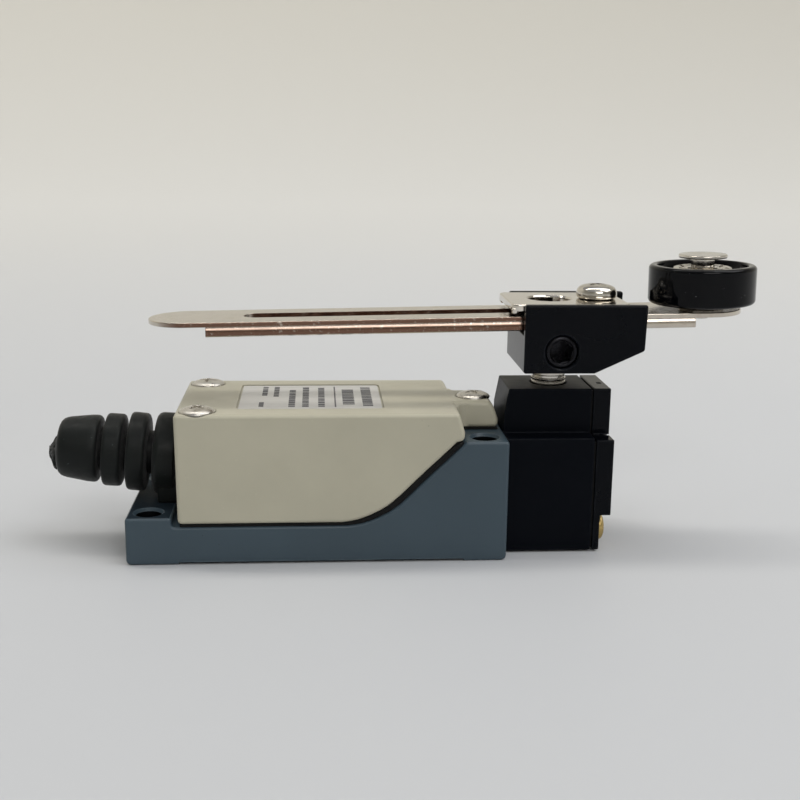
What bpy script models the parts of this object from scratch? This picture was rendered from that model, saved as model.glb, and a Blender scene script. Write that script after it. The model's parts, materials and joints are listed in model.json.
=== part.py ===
"""Roller-lever limit switch: die-cast base, beige cover, rotary head and adjustable lever.

Every mesh is drawn in millimetres, and its object's scale brings it to metres.
The origin lies on the mounting plane, midway between the two head-end mounting holes.
+X runs from the cable end to the head, +Z stands off the mounting plane.
"""

import math

import bmesh
import bpy
from mathutils import Matrix, Vector

MM = 0.001
NAME = "limit_switch"
ROUND = 24
FINE = 36
SMALL = 14
MANIFOLD_PARTS = ("head_body", "cable_boot")  # the exact solver leaves open edges on these

# Enclosure
BODY_WIDTH = 27.0
BASE_LEFT = -59.5
BASE_RIGHT = 3.75
PAD_RELIEF = 0.45
LEDGE_TOP = 8.05
NOTCH_X = -51.95
SEAT_Z = 6.45
TOWER_TOP = 20.65
HOLE_PITCH_X = 56.0
HOLE_PITCH_Y = 20.0
HOLE_R = 2.15
COVER_WIDTH = 27.3
COVER_LEFT = -50.9
COVER_TOP = 25.5
NECK_HALF = 4.95
NECK_RIGHT = 3.25
SCREW_X = -47.5
SCREW_Y = 10.65
NECK_SCREW_X = -0.8

# Head
HEAD_LEFT = 3.8
HEAD_RIGHT = 18.85
HEAD_HALF = 9.8
HEAD_BOTTOM = 0.35
HEAD_TOP = 20.2
BOSS_HALF = 5.85
BOSS_TOP = 27.9
CAP_LEFT = 19.21
CAP_THIN = 20.35
CAP_RIGHT = 22.2
CAP_STEP_Z = 6.5
CAP_SHOULDER = 19.85
AXIS_X = 12.35
PLUNGER_Z = 10.0
PLUNGER_R = 2.6
CAM_R = 5.2
CAM_FLAT = 3.4
CAP_SCREW_Y = 5.9
CAP_SCREW_LOW = 3.4
CAP_SCREW_HIGH = 17.2

# Lever
LEVER_TILT = math.radians(-1.15)
LEVER_TOP_Z = 40.6
LEVER_HALF = 6.75
SHEET = 0.85
ROLLER_RADIUS_ARM = 26.35
ROLLER_R = 9.12
CLAMP_X = 20.2
BRACKET_HALF = 9.17
BRACKET_TOP = 42.7
SLOT_FLOOR = 37.6
SET_SCREW_Z = 34.8

# Switch unit
CASE_HALF = 9.5
CONTACT_Y = 5.3

COLOURS = {
    "blue_grey_paint": ((0.045, 0.068, 0.088, 1.0), 0.45, 0.0),
    "beige_paint": ((0.36, 0.34, 0.26, 1.0), 0.45, 0.0),
    "black_seal": ((0.012, 0.012, 0.013, 1.0), 0.7, 0.0),
    "boot_rubber": ((0.016, 0.018, 0.018, 1.0), 0.6, 0.0),
    "black_paint": ((0.006, 0.007, 0.009, 1.0), 0.3, 0.0),
    "nickel": ((0.66, 0.64, 0.60, 1.0), 0.2, 1.0),
    "brass": ((0.62, 0.46, 0.2, 1.0), 0.3, 1.0),
    "dark_steel": ((0.03, 0.03, 0.032, 1.0), 0.35, 1.0),
    "label_foil": ((0.5, 0.48, 0.5, 1.0), 0.35, 0.0),
    "roller_plastic": ((0.006, 0.007, 0.010, 1.0), 0.15, 0.0),
    "phenolic": ((0.12, 0.03, 0.015, 1.0), 0.5, 0.0),
    "copper": ((0.6, 0.3, 0.16, 1.0), 0.3, 1.0),
    "white_plastic": ((0.7, 0.7, 0.66, 1.0), 0.4, 0.0),
}


# ---------------------------------------------------------------- helpers


def clear_scene():
    for obj in list(bpy.data.objects):
        bpy.data.objects.remove(obj)


def make_collections():
    parts = bpy.data.collections.new(NAME)
    cutters = bpy.data.collections.new(NAME + "_cutters")
    for collection in (parts, cutters):
        bpy.context.scene.collection.children.link(collection)
    return parts, cutters


def material(slot):
    found = bpy.data.materials.get(slot)
    if found:
        return found
    colour, roughness, metallic = COLOURS[slot]
    made = bpy.data.materials.new(slot)
    made.use_nodes = True
    shader = made.node_tree.nodes["Principled BSDF"]
    shader.inputs["Base Color"].default_value = colour
    shader.inputs["Roughness"].default_value = roughness
    shader.inputs["Metallic"].default_value = metallic
    made.diffuse_color = colour
    return made


def finish_mesh(name, bm, smooth_angle=None):
    """Turns a millimetre bmesh into an object scaled to metres, in the cutters' collection."""
    bmesh.ops.recalc_face_normals(bm, faces=bm.faces)
    mesh = bpy.data.meshes.new(name)
    bm.to_mesh(mesh)
    bm.free()
    obj = bpy.data.objects.new(name, mesh)
    obj.scale = (MM, MM, MM)
    CUTTERS.objects.link(obj)
    obj.hide_render = True
    obj.display_type = "WIRE"
    if smooth_angle:
        mesh.shade_smooth()
        mesh.set_sharp_from_angle(angle=math.radians(smooth_angle))
    return obj


def as_part(obj, slot):
    """Moves a finished solid from the cutters to the parts and gives it its material."""
    CUTTERS.objects.unlink(obj)
    PARTS.objects.link(obj)
    obj.hide_render = False
    obj.display_type = "SOLID"
    obj.data.materials.append(material(slot))
    return obj


def box(name, low, high):
    bm = bmesh.new()
    bmesh.ops.create_cube(bm, size=1.0)
    size = [h - l for l, h in zip(low, high)]
    middle = [(l + h) / 2 for l, h in zip(low, high)]
    bmesh.ops.scale(bm, vec=size, verts=bm.verts)
    bmesh.ops.translate(bm, vec=middle, verts=bm.verts)
    return finish_mesh(name, bm)


def prism(name, outline, axis, low, high, smooth_angle=None):
    """Extrudes a flat outline of (a, b) pairs along one axis.

    The pairs are (y, z) for axis X, (x, z) for axis Y and (x, y) for axis Z.
    """
    place = {
        "X": lambda a, b: (low, a, b),
        "Y": lambda a, b: (a, low, b),
        "Z": lambda a, b: (a, b, low),
    }[axis]
    step = {"X": (1, 0, 0), "Y": (0, 1, 0), "Z": (0, 0, 1)}[axis]
    bm = bmesh.new()
    face = bm.faces.new([bm.verts.new(place(a, b)) for a, b in outline])
    out = bmesh.ops.extrude_face_region(bm, geom=[face])
    moved = [g for g in out["geom"] if isinstance(g, bmesh.types.BMVert)]
    bmesh.ops.translate(bm, vec=Vector(step) * (high - low), verts=moved)
    return finish_mesh(name, bm, smooth_angle)


AIM = {
    "+Z": Matrix.Identity(3),
    "+X": Matrix.Rotation(math.radians(90), 3, "Y"),
    "-X": Matrix.Rotation(math.radians(-90), 3, "Y"),
    "-Y": Matrix.Rotation(math.radians(90), 3, "X"),
}


def turned(name, profile, at=(0, 0, 0), aim="+Z", segments=ROUND):
    """Spins (radius, height) points about an axis through `at`. Radius 0 points close an end."""
    bm = bmesh.new()
    verts = [bm.verts.new((r, 0, h)) for r, h in profile]
    count = len(verts)
    closed = profile[0][0] > 0
    edges = [bm.edges.new((verts[i], verts[i + 1])) for i in range(count - 1)]
    if closed:
        edges.append(bm.edges.new((verts[-1], verts[0])))
    bmesh.ops.spin(
        bm, geom=verts + edges, cent=(0, 0, 0), axis=(0, 0, 1),
        angle=math.tau, steps=segments, use_merge=True,
    )
    bmesh.ops.remove_doubles(bm, verts=bm.verts, dist=0.0001)
    bmesh.ops.rotate(bm, cent=(0, 0, 0), matrix=AIM[aim], verts=bm.verts)
    bmesh.ops.translate(bm, vec=at, verts=bm.verts)
    return finish_mesh(name, bm, 35)


def cylinder(name, radius, length, at, aim="+Z", segments=SMALL):
    return turned(name, [(0, 0), (radius, 0), (radius, length), (0, length)], at, aim, segments)


def combine(obj, other, operation):
    """Adds a Boolean. The other solid stays among the cutters."""
    step = obj.modifiers.new(operation.lower(), "BOOLEAN")
    step.operation = operation
    step.solver = "MANIFOLD" if obj.name in MANIFOLD_PARTS else "EXACT"
    step.object = other
    return obj


def cut(obj, *others):
    for other in others:
        combine(obj, other, "DIFFERENCE")
    return obj


def fuse(obj, *others):
    for other in others:
        combine(obj, other, "UNION")
    return obj


def round_edges(obj, width, segments=2, angle=40):
    step = obj.modifiers.new("bevel", "BEVEL")
    step.width = width
    step.segments = segments
    step.limit_method = "ANGLE"
    step.angle_limit = math.radians(angle)
    step.use_clamp_overlap = True
    step.harden_normals = False
    return obj


def arc(centre, radius, start, end, steps):
    """Points on an arc, in degrees, both ends included."""
    points = []
    for i in range(steps + 1):
        turn = math.radians(start + (end - start) * i / steps)
        points.append((centre[0] + radius * math.cos(turn), centre[1] + radius * math.sin(turn)))
    return points


def rounded_rectangle(low, high, radius, steps=4):
    (x0, y0), (x1, y1) = low, high
    return (
        arc((x1 - radius, y0 + radius), radius, -90, 0, steps)
        + arc((x1 - radius, y1 - radius), radius, 0, 90, steps)
        + arc((x0 + radius, y1 - radius), radius, 90, 180, steps)
        + arc((x0 + radius, y0 + radius), radius, 180, 270, steps)
    )


def regular(count, radius, turn=0.0):
    step = math.tau / count
    return [
        (radius * math.cos(turn + i * step), radius * math.sin(turn + i * step))
        for i in range(count)
    ]


def cross_recess(name, arm, width, depth, at, aim="+Z"):
    """A cross-shaped screwdriver recess that narrows as it goes down from `at`."""
    w = width / 2
    outline = [
        (arm, -w), (arm, w), (w, w), (w, arm), (-w, arm), (-w, w),
        (-arm, w), (-arm, -w), (-w, -w), (-w, -arm), (w, -arm), (w, -w),
    ]
    bm = bmesh.new()
    top = bm.faces.new([bm.verts.new((a, b, 0.5)) for a, b in outline])
    out = bmesh.ops.extrude_face_region(bm, geom=[top])
    low = [g for g in out["geom"] if isinstance(g, bmesh.types.BMVert)]
    bmesh.ops.translate(bm, vec=(0, 0, -depth - 0.5), verts=low)
    bmesh.ops.scale(bm, vec=(0.55, 0.55, 1), verts=low)
    bmesh.ops.rotate(bm, cent=(0, 0, 0), matrix=AIM[aim], verts=bm.verts)
    bmesh.ops.translate(bm, vec=at, verts=bm.verts)
    return finish_mesh(name, bm)


def cross_screw(name, slot, at, aim, head, shank, segments=SMALL):
    """A cross-recessed screw whose head sits on `at`.

    head is a list of (radius, height) points from the seat to the crown; shank is (radius, length).
    """
    radius, length = shank
    chamfer = 0.4
    profile = [(0, -length), (radius - chamfer, -length), (radius, chamfer - length), (radius, 0)]
    screw = turned(name, profile + head, at, aim, segments)
    crown = head[-1][1]
    reach = AIM[aim] @ Vector((0, 0, crown))
    top = [a + r for a, r in zip(at, reach)]
    arm = head[0][0] * 0.62
    recess = cross_recess(name + "_recess", arm, arm * 0.42, crown * 0.75 + 0.4, top, aim)
    return as_part(cut(screw, recess), slot)


PAN = [(1.0, 0.0), (1.0, 0.28), (0.93, 0.48), (0.78, 0.62), (0.5, 0.72), (0.0, 0.76)]


def pan_head(radius, rise=1.0):
    """Pan head profile for a head of this radius; rise scales its height."""
    return [(r * radius, h * radius * rise) for r, h in PAN]


def oval_head(radius, sink):
    """Oval countersunk head: a cone sunk by `sink`, under a low dome."""
    return [(radius, sink), (radius, sink + 0.25), (radius * 0.8, sink + 0.62),
            (radius * 0.5, sink + 0.85), (0, sink + 0.98)]


# ---------------------------------------------------------------- enclosure


def seat_curve():
    """The rising seat line between base and cover, from low and left to high and right."""
    return [
        (-22.9, SEAT_Z), (-20.7, 6.75), (-18.7, 7.4), (-15.95, 8.75), (-13.85, 10.35),
        (-9.9, 14.35), (-5.8, 18.25), (-3.35, TOWER_TOP),
    ]


def lifted(points, dx, dz):
    return [(x + dx, z + dz) for x, z in points]


def mounting_hole(index, x, y, top):
    hole = cylinder(f"mount_hole_{index}", HOLE_R, top + 2, (x, y, -1), segments=24)
    flare = turned(
        f"mount_flare_{index}",
        [(0, top - 0.45), (HOLE_R, top - 0.45), (2.6, top + 0.02), (2.6, top + 1), (0, top + 1)],
        (x, y, 0), segments=24,
    )
    return hole, flare


def base_housing():
    half = BODY_WIDTH / 2
    outline = (
        [(BASE_LEFT, 0), (BASE_RIGHT, 0), (BASE_RIGHT, TOWER_TOP)]
        + seat_curve()[::-1]
        + [(NOTCH_X + 0.35, SEAT_Z), (NOTCH_X + 0.08, SEAT_Z + 0.3), (NOTCH_X, LEDGE_TOP),
           (BASE_LEFT, LEDGE_TOP)]
    )
    base = prism("base_housing", outline, "Y", -half, half)
    round_edges(base, 0.35)
    cut(base, box("base_cavity", (-44.2, -11.4, 2.3), (-4.5, 11.4, 30)))
    cut(base, box("base_cable_bay", (-49.2, -7.0, 2.3), (-43.0, 7.0, 30)))
    cut(base, box("pad_relief", (-50.9, -20, -1), (-3.5, 20, PAD_RELIEF)))
    index = 0
    for x, top in ((0.0, TOWER_TOP), (-HOLE_PITCH_X, LEDGE_TOP)):
        for side in (-1, 1):
            index += 1
            cut(base, *mounting_hole(index, x, side * HOLE_PITCH_Y / 2, top))
    for side in (-1, 1):
        tag = "near" if side < 0 else "far"
        cut(base, cylinder(f"cover_thread_{tag}", 1.5, 20, (SCREW_X, side * SCREW_Y, 1.2)))
        for level, z in (("low", CAP_SCREW_LOW), ("high", CAP_SCREW_HIGH)):
            cut(base, cylinder(f"head_thread_{tag}_{level}", 1.5, 8,
                               (-1.6, side * CAP_SCREW_Y, z), "+X"))
    cut(base, cylinder("neck_thread", 1.5, 12, (NECK_SCREW_X, 0, 14.6)))
    cut(base, cylinder("base_plunger_bore", PLUNGER_R + 0.06, 12, (-6, 0, PLUNGER_Z), "+X", ROUND))
    cut(base, cylinder("earth_thread", 1.3, 4, (-46.6, 3.6, 0.9)))
    for tag, x in (("front", -15.6), ("rear", -36.6)):
        cut(base, cylinder(f"case_thread_{tag}", 1.15, 4, (x, 0, 0.9)))
    return as_part(base, "blue_grey_paint")


def cover():
    half = COVER_WIDTH / 2
    gap = 0.55
    low = lifted(seat_curve()[:-1], -1.0, gap)
    outline = (
        [(COVER_LEFT, SEAT_Z + gap), *low, (-3.72, 20.85), (-3.7, 22.2), (-4.65, COVER_TOP),
         (COVER_LEFT - 0.25, COVER_TOP), (COVER_LEFT - 0.1, 16.0)]
    )
    shell = prism("cover", outline, "Y", -half, half)
    round_edges(shell, 0.9, 3, 50)
    neck = prism(
        "cover_neck",
        [(-6.5, 20.95), (NECK_RIGHT, 20.95), (1.9, COVER_TOP), (-6.5, COVER_TOP)],
        "Y", -NECK_HALF, NECK_HALF,
    )
    round_edges(neck, 0.8, 3, 50)
    fuse(shell, neck)
    cut(shell, box("cover_cavity", (-44.2, -11.9, 0), (-6.4, 11.9, 23.8)))
    cut(shell, box("cover_cable_bay", (-49.2, -7.0, 0), (-43.0, 7.0, 23.8)))
    cut(shell, cylinder("cover_cable_hole", 5.2, 6, (-53, 0, 15.4), "+X", ROUND))
    cut(shell, box("label_recess", (-41.3, -9.4, COVER_TOP - 0.3), (-16.8, 9.4, 30)))
    for tag, x, y in (("near", SCREW_X, -SCREW_Y), ("far", SCREW_X, SCREW_Y),
                      ("neck", NECK_SCREW_X, 0)):
        seat = turned(
            f"cover_screw_seat_{tag}",
            [(0, 0), (1.6, 0), (1.6, COVER_TOP - 1.5), (3.02, COVER_TOP - 0.2), (3.02, 30), (0, 30)],
            (x, y, 0), segments=ROUND,
        )
        cut(shell, seat)
    return as_part(shell, "beige_paint")


def cover_gasket():
    half = COVER_WIDTH / 2 - 0.45
    lower = lifted(seat_curve()[:-1], -0.1, 0.04)
    upper = lifted(seat_curve()[:-1], -0.9, 0.48)
    outline = (
        [(COVER_LEFT + 0.35, SEAT_Z + 0.04), *lower, (-3.5, 20.69), (2.9, 20.69), (2.9, 20.9),
         (-3.6, 20.9), (-3.64, 20.8), (-4.2, 20.42), *upper[::-1], (COVER_LEFT + 0.35, SEAT_Z + 0.48)]
    )
    ring = prism("cover_gasket", outline, "Y", -half, half)
    cut(ring, box("gasket_opening", (-44.1, -11.3, 0), (-5.0, 11.3, 30)))
    cut(ring, box("gasket_cable_bay", (-49.1, -6.9, 0), (-43.0, 6.9, 30)))
    for side in (-1, 1):
        tag = "near" if side < 0 else "far"
        cut(ring, cylinder(f"gasket_screw_hole_{tag}", 1.7, 30, (SCREW_X, side * SCREW_Y, 0)))
        cut(ring, box(f"gasket_trim_{tag}", (-3.9, side * 9.2 - 4.1, 18), (6, side * 9.2 + 4.1, 30)))
    cut(ring, cylinder("gasket_neck_hole", 1.7, 30, (NECK_SCREW_X, 0, 0)))
    return as_part(ring, "black_seal")


def cover_screws():
    sink = 1.25
    for number, (x, y, length) in enumerate(
        ((SCREW_X, -SCREW_Y, 21.5), (SCREW_X, SCREW_Y, 21.5), (NECK_SCREW_X, 0, 7.5)), 1
    ):
        cross_screw(f"cover_screw_{number}", "nickel", (x, y, COVER_TOP - sink - 0.15), "+Z",
                    oval_head(2.93, sink), (1.45, length), ROUND)


def rating_label():
    z = COVER_TOP - 0.26
    outline = rounded_rectangle((-41.0, -9.1), (-17.1, 9.1), 0.6)
    return as_part(prism("rating_label", outline, "Z", z, z + 0.16), "label_foil")


BOOT_TILT = math.radians(4.4)
BOOT_Z = 15.35
BOOT_X = -51.9


def boot_profile():
    """(radius, distance from the cover) points of the boot's outside, and of its bore."""
    outer = [(6.6, 0.0), (7.15, 0.5), (7.15, 3.1), (6.6, 3.9), (4.3, 3.95), (4.3, 4.75)]
    for start, radius in ((4.8, 6.8), (8.9, 6.3)):
        outer += [(radius - 0.9, start), (radius - 0.15, start + 0.5), (radius, start + 1.1),
                  (radius - 0.1, start + 2.4), (radius - 0.9, start + 3.35), (4.3, start + 3.4)]
        outer += [(4.3, start + 4.05)]
    nose = [(5.0, 13.0), (5.75, 13.5), (5.85, 14.2), (5.2, 19.4), (4.9, 20.2), (4.1, 20.7),
            (3.6, 20.8), (3.0, 21.3), (2.2, 21.3), (1.4, 21.9), (0, 22.2)]
    bore = [(0, -0.5), (3.1, -0.5), (3.1, 14.4), (2.8, 18.8), (0, 19.4)]
    return outer[:-1] + nose, bore


def tilted_boot(obj):
    """Tips a solid turned about the boot's own axis, and carries it to the cover's end."""
    obj.data.transform(Matrix.Rotation(BOOT_TILT, 4, "Y"))
    obj.data.transform(Matrix.Translation(Vector((BOOT_X, 0, BOOT_Z))))
    return obj


def cable_boot():
    outer, bore = boot_profile()
    boot = tilted_boot(turned("cable_boot", [(0, 0), *outer], (0, 0, 0), "-X", 30))
    foot = box("boot_foot", (-55.1, -5.3, LEDGE_TOP + 0.04), (-51.35, 5.3, 14.5))
    round_edges(foot, 0.3)
    collar = cylinder("boot_collar", 5.05, 3.9, (-52.4, 0, 15.4), "+X", ROUND)
    flange = cylinder("boot_flange", 5.9, 1.2, (-49.1, 0, 15.4), "+X", ROUND)
    fuse(boot, foot, collar, flange)
    cut(boot, tilted_boot(turned("boot_bore", bore, (0, 0, 0), "-X", SMALL)))
    cut(boot, cylinder("boot_mouth", 3.2, 6, (-52.0, 0, 15.4), "+X", SMALL))
    return as_part(boot, "boot_rubber")


# ---------------------------------------------------------------- rotary head


def head_outline(shoulder, inset=0.0):
    """The head seen from its cap end: a square block with a narrower boss above it."""
    half = HEAD_HALF - inset
    boss = BOSS_HALF - inset
    low = HEAD_BOTTOM + inset
    top = BOSS_TOP - inset
    level = shoulder - inset
    return [(-half, low), (half, low), (half, level), (boss, level), (boss, top),
            (-boss, top), (-boss, level), (-half, level)]


def head_body():
    block = prism("head_body", head_outline(HEAD_TOP), "X", HEAD_LEFT, HEAD_RIGHT)
    wedge = prism(
        "boss_slope",
        [(HEAD_LEFT - 2, 23.4), (HEAD_LEFT, 23.4), (4.6, BOSS_TOP), (4.85, 30), (HEAD_LEFT - 2, 30)],
        "Y", -20, 20,
    )
    cut(block, wedge)
    round_edges(block, 0.25)
    cut(block, box("head_cavity", (6.9, -5.6, 5.2), (30, 5.6, 15.4)))
    cut(block, cylinder("head_plunger_bore", PLUNGER_R + 0.06, 8, (2, 0, PLUNGER_Z), "+X", ROUND))
    cut(block, cylinder("head_seal_groove", 5.2, 2.35, (2.8, 0, PLUNGER_Z), "+X", ROUND))
    cut(block, cylinder("upper_bearing", 3.06, 20, (AXIS_X, 0, 12), "+Z", FINE))
    cut(block, cylinder("shaft_seal_groove", 4.0, 2.0, (AXIS_X, 0, 22.0), "+Z", ROUND))
    cut(block, cylinder("lower_bearing", 2.06, 4, (AXIS_X, 0, 2.3), "+Z", ROUND))
    for side in (-1, 1):
        for z in (CAP_SCREW_LOW, CAP_SCREW_HIGH):
            tag = f"{'near' if side < 0 else 'far'}_{'low' if z < 10 else 'high'}"
            cut(block, cylinder(f"head_screw_hole_{tag}", 1.6, 30, (0, side * CAP_SCREW_Y, z), "+X"))
    return as_part(block, "black_paint")


def cap_gasket():
    sheet = prism("cap_gasket", head_outline(CAP_SHOULDER, 0.45), "X", 18.89, 19.17)
    cut(sheet, box("cap_gasket_opening", (10, -5.2, 5.4), (30, 5.2, 15.2)))
    for side in (-1, 1):
        for z in (CAP_SCREW_LOW, CAP_SCREW_HIGH):
            tag = f"{'near' if side < 0 else 'far'}_{'low' if z < 10 else 'high'}"
            cut(sheet, cylinder(f"cap_gasket_hole_{tag}", 1.7, 9, (15, side * CAP_SCREW_Y, z), "+X"))
    return as_part(sheet, "black_seal")


def head_cap():
    cap = prism("head_cap", head_outline(CAP_SHOULDER), "X", CAP_LEFT, CAP_RIGHT)
    cut(cap, box("cap_step", (CAP_THIN, -20, -5), (30, 20, CAP_STEP_Z)))
    round_edges(cap, 0.25)
    cut(cap, box("cap_mark", (20.6, -2.0, BOSS_TOP - 0.5), (21.5, -0.6, 30)))
    for side in (-1, 1):
        tag = "near" if side < 0 else "far"
        for z in (CAP_SCREW_LOW, CAP_SCREW_HIGH):
            level = "low" if z < 10 else "high"
            cut(cap, cylinder(f"cap_screw_hole_{tag}_{level}", 1.6, 9, (15, side * CAP_SCREW_Y, z), "+X"))
        cut(cap, cylinder(f"cap_counterbore_{tag}", 2.7, 9,
                          (CAP_THIN + 0.1, side * CAP_SCREW_Y, CAP_SCREW_HIGH), "+X", 24))
    return as_part(cap, "black_paint")


def cap_screws():
    number = 0
    for z, seat in ((CAP_SCREW_LOW, CAP_THIN + 0.04), (CAP_SCREW_HIGH, CAP_THIN + 0.14)):
        for side in (-1, 1):
            number += 1
            cross_screw(f"cap_screw_{number}", "brass", (seat, side * CAP_SCREW_Y, z), "+X",
                        pan_head(2.4, 0.8), (1.45, 21.5))


def ring(name, slot, inner, outer, low, high, at, aim, ease):
    """A washer-like ring with eased outer edges."""
    profile = [(inner, low), (outer - ease, low), (outer, low + ease), (outer, high - ease),
               (outer - ease, high), (inner, high)]
    return as_part(turned(name, profile, at, aim, ROUND), slot)


def operating_shaft():
    profile = [
        (0, 2.4), (1.7, 2.4), (2.0, 2.7), (2.0, 5.3), (2.9, 5.3), (2.9, 15.3), (3.0, 15.35),
        (3.0, 28.9), (2.8, 29.0), (2.8, 29.5), (3.0, 29.6), (3.0, 37.1), (2.7, 37.4), (0, 37.4),
    ]
    return as_part(turned("operating_shaft", profile, (AXIS_X, 0, 0), "+Z", FINE), "nickel")


def actuating_cam():
    disc = turned("actuating_cam", [(2.94, 6.5), (CAM_R, 6.5), (CAM_R, 13.5), (2.94, 13.5)],
                  (AXIS_X, 0, 0), "+Z", FINE)
    cut(disc, box("cam_flat_cut", (AXIS_X - 10, -10, 0), (AXIS_X - CAM_FLAT, 10, 30)))
    return as_part(disc, "dark_steel")


def head_plunger():
    tip = AXIS_X - CAM_R - 0.12
    rear = -7.9
    profile = [(0, 0), (2.0, 0), (2.1, 0.1), (2.1, 2.2), (3.6, 2.2), (3.6, 3.1),
               (PLUNGER_R, 3.1), (PLUNGER_R, tip - rear - 0.5), (2.2, tip - rear), (0, tip - rear)]
    return as_part(turned("head_plunger", profile, (rear, 0, PLUNGER_Z), "+X", ROUND), "dark_steel")


def coil(name, slot, radius, wire, start, length, turns, centre):
    """A helical compression spring along +X."""
    per_turn = 10
    curve = bpy.data.curves.new(name, "CURVE")
    curve.dimensions = "3D"
    curve.bevel_depth = wire
    curve.bevel_resolution = 1
    curve.use_fill_caps = True
    count = int(turns * per_turn) + 1
    spline = curve.splines.new("POLY")
    spline.points.add(count - 1)
    for i, point in enumerate(spline.points):
        turn = math.tau * i / per_turn
        x = start + wire + (length - 2 * wire) * i / (count - 1)
        y = centre[0] + radius * math.cos(turn)
        z = centre[1] + radius * math.sin(turn)
        point.co = (x, y, z, 1)
    holder = bpy.data.objects.new(name + "_path", curve)
    CUTTERS.objects.link(holder)
    bpy.context.view_layer.update()
    graph = bpy.context.evaluated_depsgraph_get()
    mesh = bpy.data.meshes.new_from_object(holder.evaluated_get(graph))
    bpy.data.objects.remove(holder)
    mesh.name = name
    bm = bmesh.new()
    bm.from_mesh(mesh)
    bmesh.ops.remove_doubles(bm, verts=bm.verts, dist=0.0001)
    bmesh.ops.recalc_face_normals(bm, faces=bm.faces)
    bm.to_mesh(mesh)
    bm.free()
    obj = bpy.data.objects.new(name, mesh)
    obj.scale = (MM, MM, MM)
    CUTTERS.objects.link(obj)
    return as_part(obj, slot)


# ---------------------------------------------------------------- switch unit


def switch_case():
    case = box("switch_case", (-40, -CASE_HALF, 2.4), (-12.4, CASE_HALF, 15.5))
    round_edges(case, 0.5)
    cut(case, box("case_cavity", (-38.4, -7.9, 5.0), (-14.0, 7.9, 20)))
    cut(case, cylinder("case_front_bore", 1.56, 6, (-16, 0, PLUNGER_Z), "+X"))
    for tag, x in (("front", -15.6), ("rear", -36.6)):
        cut(case, cylinder(f"case_screw_hole_{tag}", 1.2, 9, (x, 0, 0)))
    return as_part(case, "phenolic")


def case_screws():
    for number, x in enumerate((-15.6, -36.6), 1):
        cross_screw(f"case_screw_{number}", "nickel", (x, 0, 5.04), "+Z", pan_head(1.5), (1.08, 3.9))


def contact_carrier():
    rod = turned("contact_carrier", [(0, 0), (1.3, 0), (1.5, 0.2), (1.5, 24.6), (1.2, 24.9), (0, 24.9)],
                 (-33.0, 0, PLUNGER_Z), "+X")
    block = box("carrier_block", (-31.4, -2.6, 7.6), (-26.4, 2.6, 12.4))
    round_edges(block, 0.3)
    fuse(rod, block)
    return as_part(rod, "white_plastic")


def moving_bridge():
    bar = box("moving_bridge", (-25.2, -7.0, 8.4), (-24.4, 7.0, 11.6))
    round_edges(bar, 0.15)
    for tag, y in (("near", -CONTACT_Y), ("far", CONTACT_Y)):
        fuse(bar, cylinder(f"bridge_rivet_{tag}", 1.1, 1.6, (-25.6, y, PLUNGER_Z), "+X"))
    cut(bar, cylinder("bridge_hole", 1.55, 6, (-27, 0, PLUNGER_Z), "+X"))
    return as_part(bar, "copper")


def terminal(name, side, tongue, foot, screw_x):
    """A bent contact terminal: tongue is its upright leg's x range, foot its lying leg's."""
    y0, y1 = sorted((side * 3.4, side * 7.6))
    low, high = tongue
    upright = box(name, (low, y0, 6.2), (high, y1, 14.2))
    lying = box(name + "_foot", (foot[0], y0, 13.1), (foot[1], y1, 14.2))
    fuse(upright, lying)
    cut(upright, cylinder(name + "_hole", 1.3, 6, (screw_x, side * CONTACT_Y, 11)))
    as_part(upright, "brass")


def terminals():
    number = 0
    for kind, tongue, foot, screw_x in (
        ("closed", (-23.5, -22.4), (-23.0, -14.6), -18.2),
        ("open", (-28.9, -27.7), (-37.6, -28.2), -33.4),
    ):
        for side in (-1, 1):
            number += 1
            tag = "near" if side < 0 else "far"
            terminal(f"terminal_{kind}_{tag}", side, tongue, foot, screw_x)
            cross_screw(f"terminal_screw_{number}", "nickel",
                        (screw_x, side * CONTACT_Y, 14.24), "+Z", pan_head(2.1), (1.2, 4.5))


def earth_screw():
    cross_screw("earth_screw", "brass", (-46.6, 3.6, 2.34), "+Z", pan_head(2.0), (1.2, 1.3))


# ---------------------------------------------------------------- lever


def lever_bracket():
    outline = [(6.4, 31.16), (18.4, 31.16), (26.78, 34.97), (26.96, BRACKET_TOP), (6.4, BRACKET_TOP)]
    block = prism("lever_bracket", outline, "Y", -BRACKET_HALF, BRACKET_HALF)
    round_edges(block, 0.35)
    cut(block, box("bracket_slot", (0, -7.7, SLOT_FLOOR), (40, 7.7, 60)))
    cut(block, cylinder("bracket_bore", 3.06, 20, (AXIS_X, 0, 25), "+Z", FINE))
    cut(block, cylinder("clamp_thread", 2.02, 20, (CLAMP_X, 0, 33.6)))
    cut(block, cylinder("set_screw_thread", 2.78, 10, (AXIS_X + 0.4, -2.0, SET_SCREW_Z), "-Y", 24))
    return as_part(block, "black_paint")


def set_screw():
    front = 9.0
    rear = 3.12
    body = turned("set_screw", [(0, rear), (2.3, rear), (2.7, rear + 0.4), (2.7, front - 0.35),
                                (2.4, front), (0, front)],
                  (AXIS_X + 0.4, 0, SET_SCREW_Z), "-Y", 24)
    hexagon = [(AXIS_X + 0.4 + a, SET_SCREW_Z + b) for a, b in regular(6, 1.95, math.radians(30))]
    cut(body, prism("set_screw_socket", hexagon, "Y", -20, -6.0))
    return as_part(body, "dark_steel")


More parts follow.
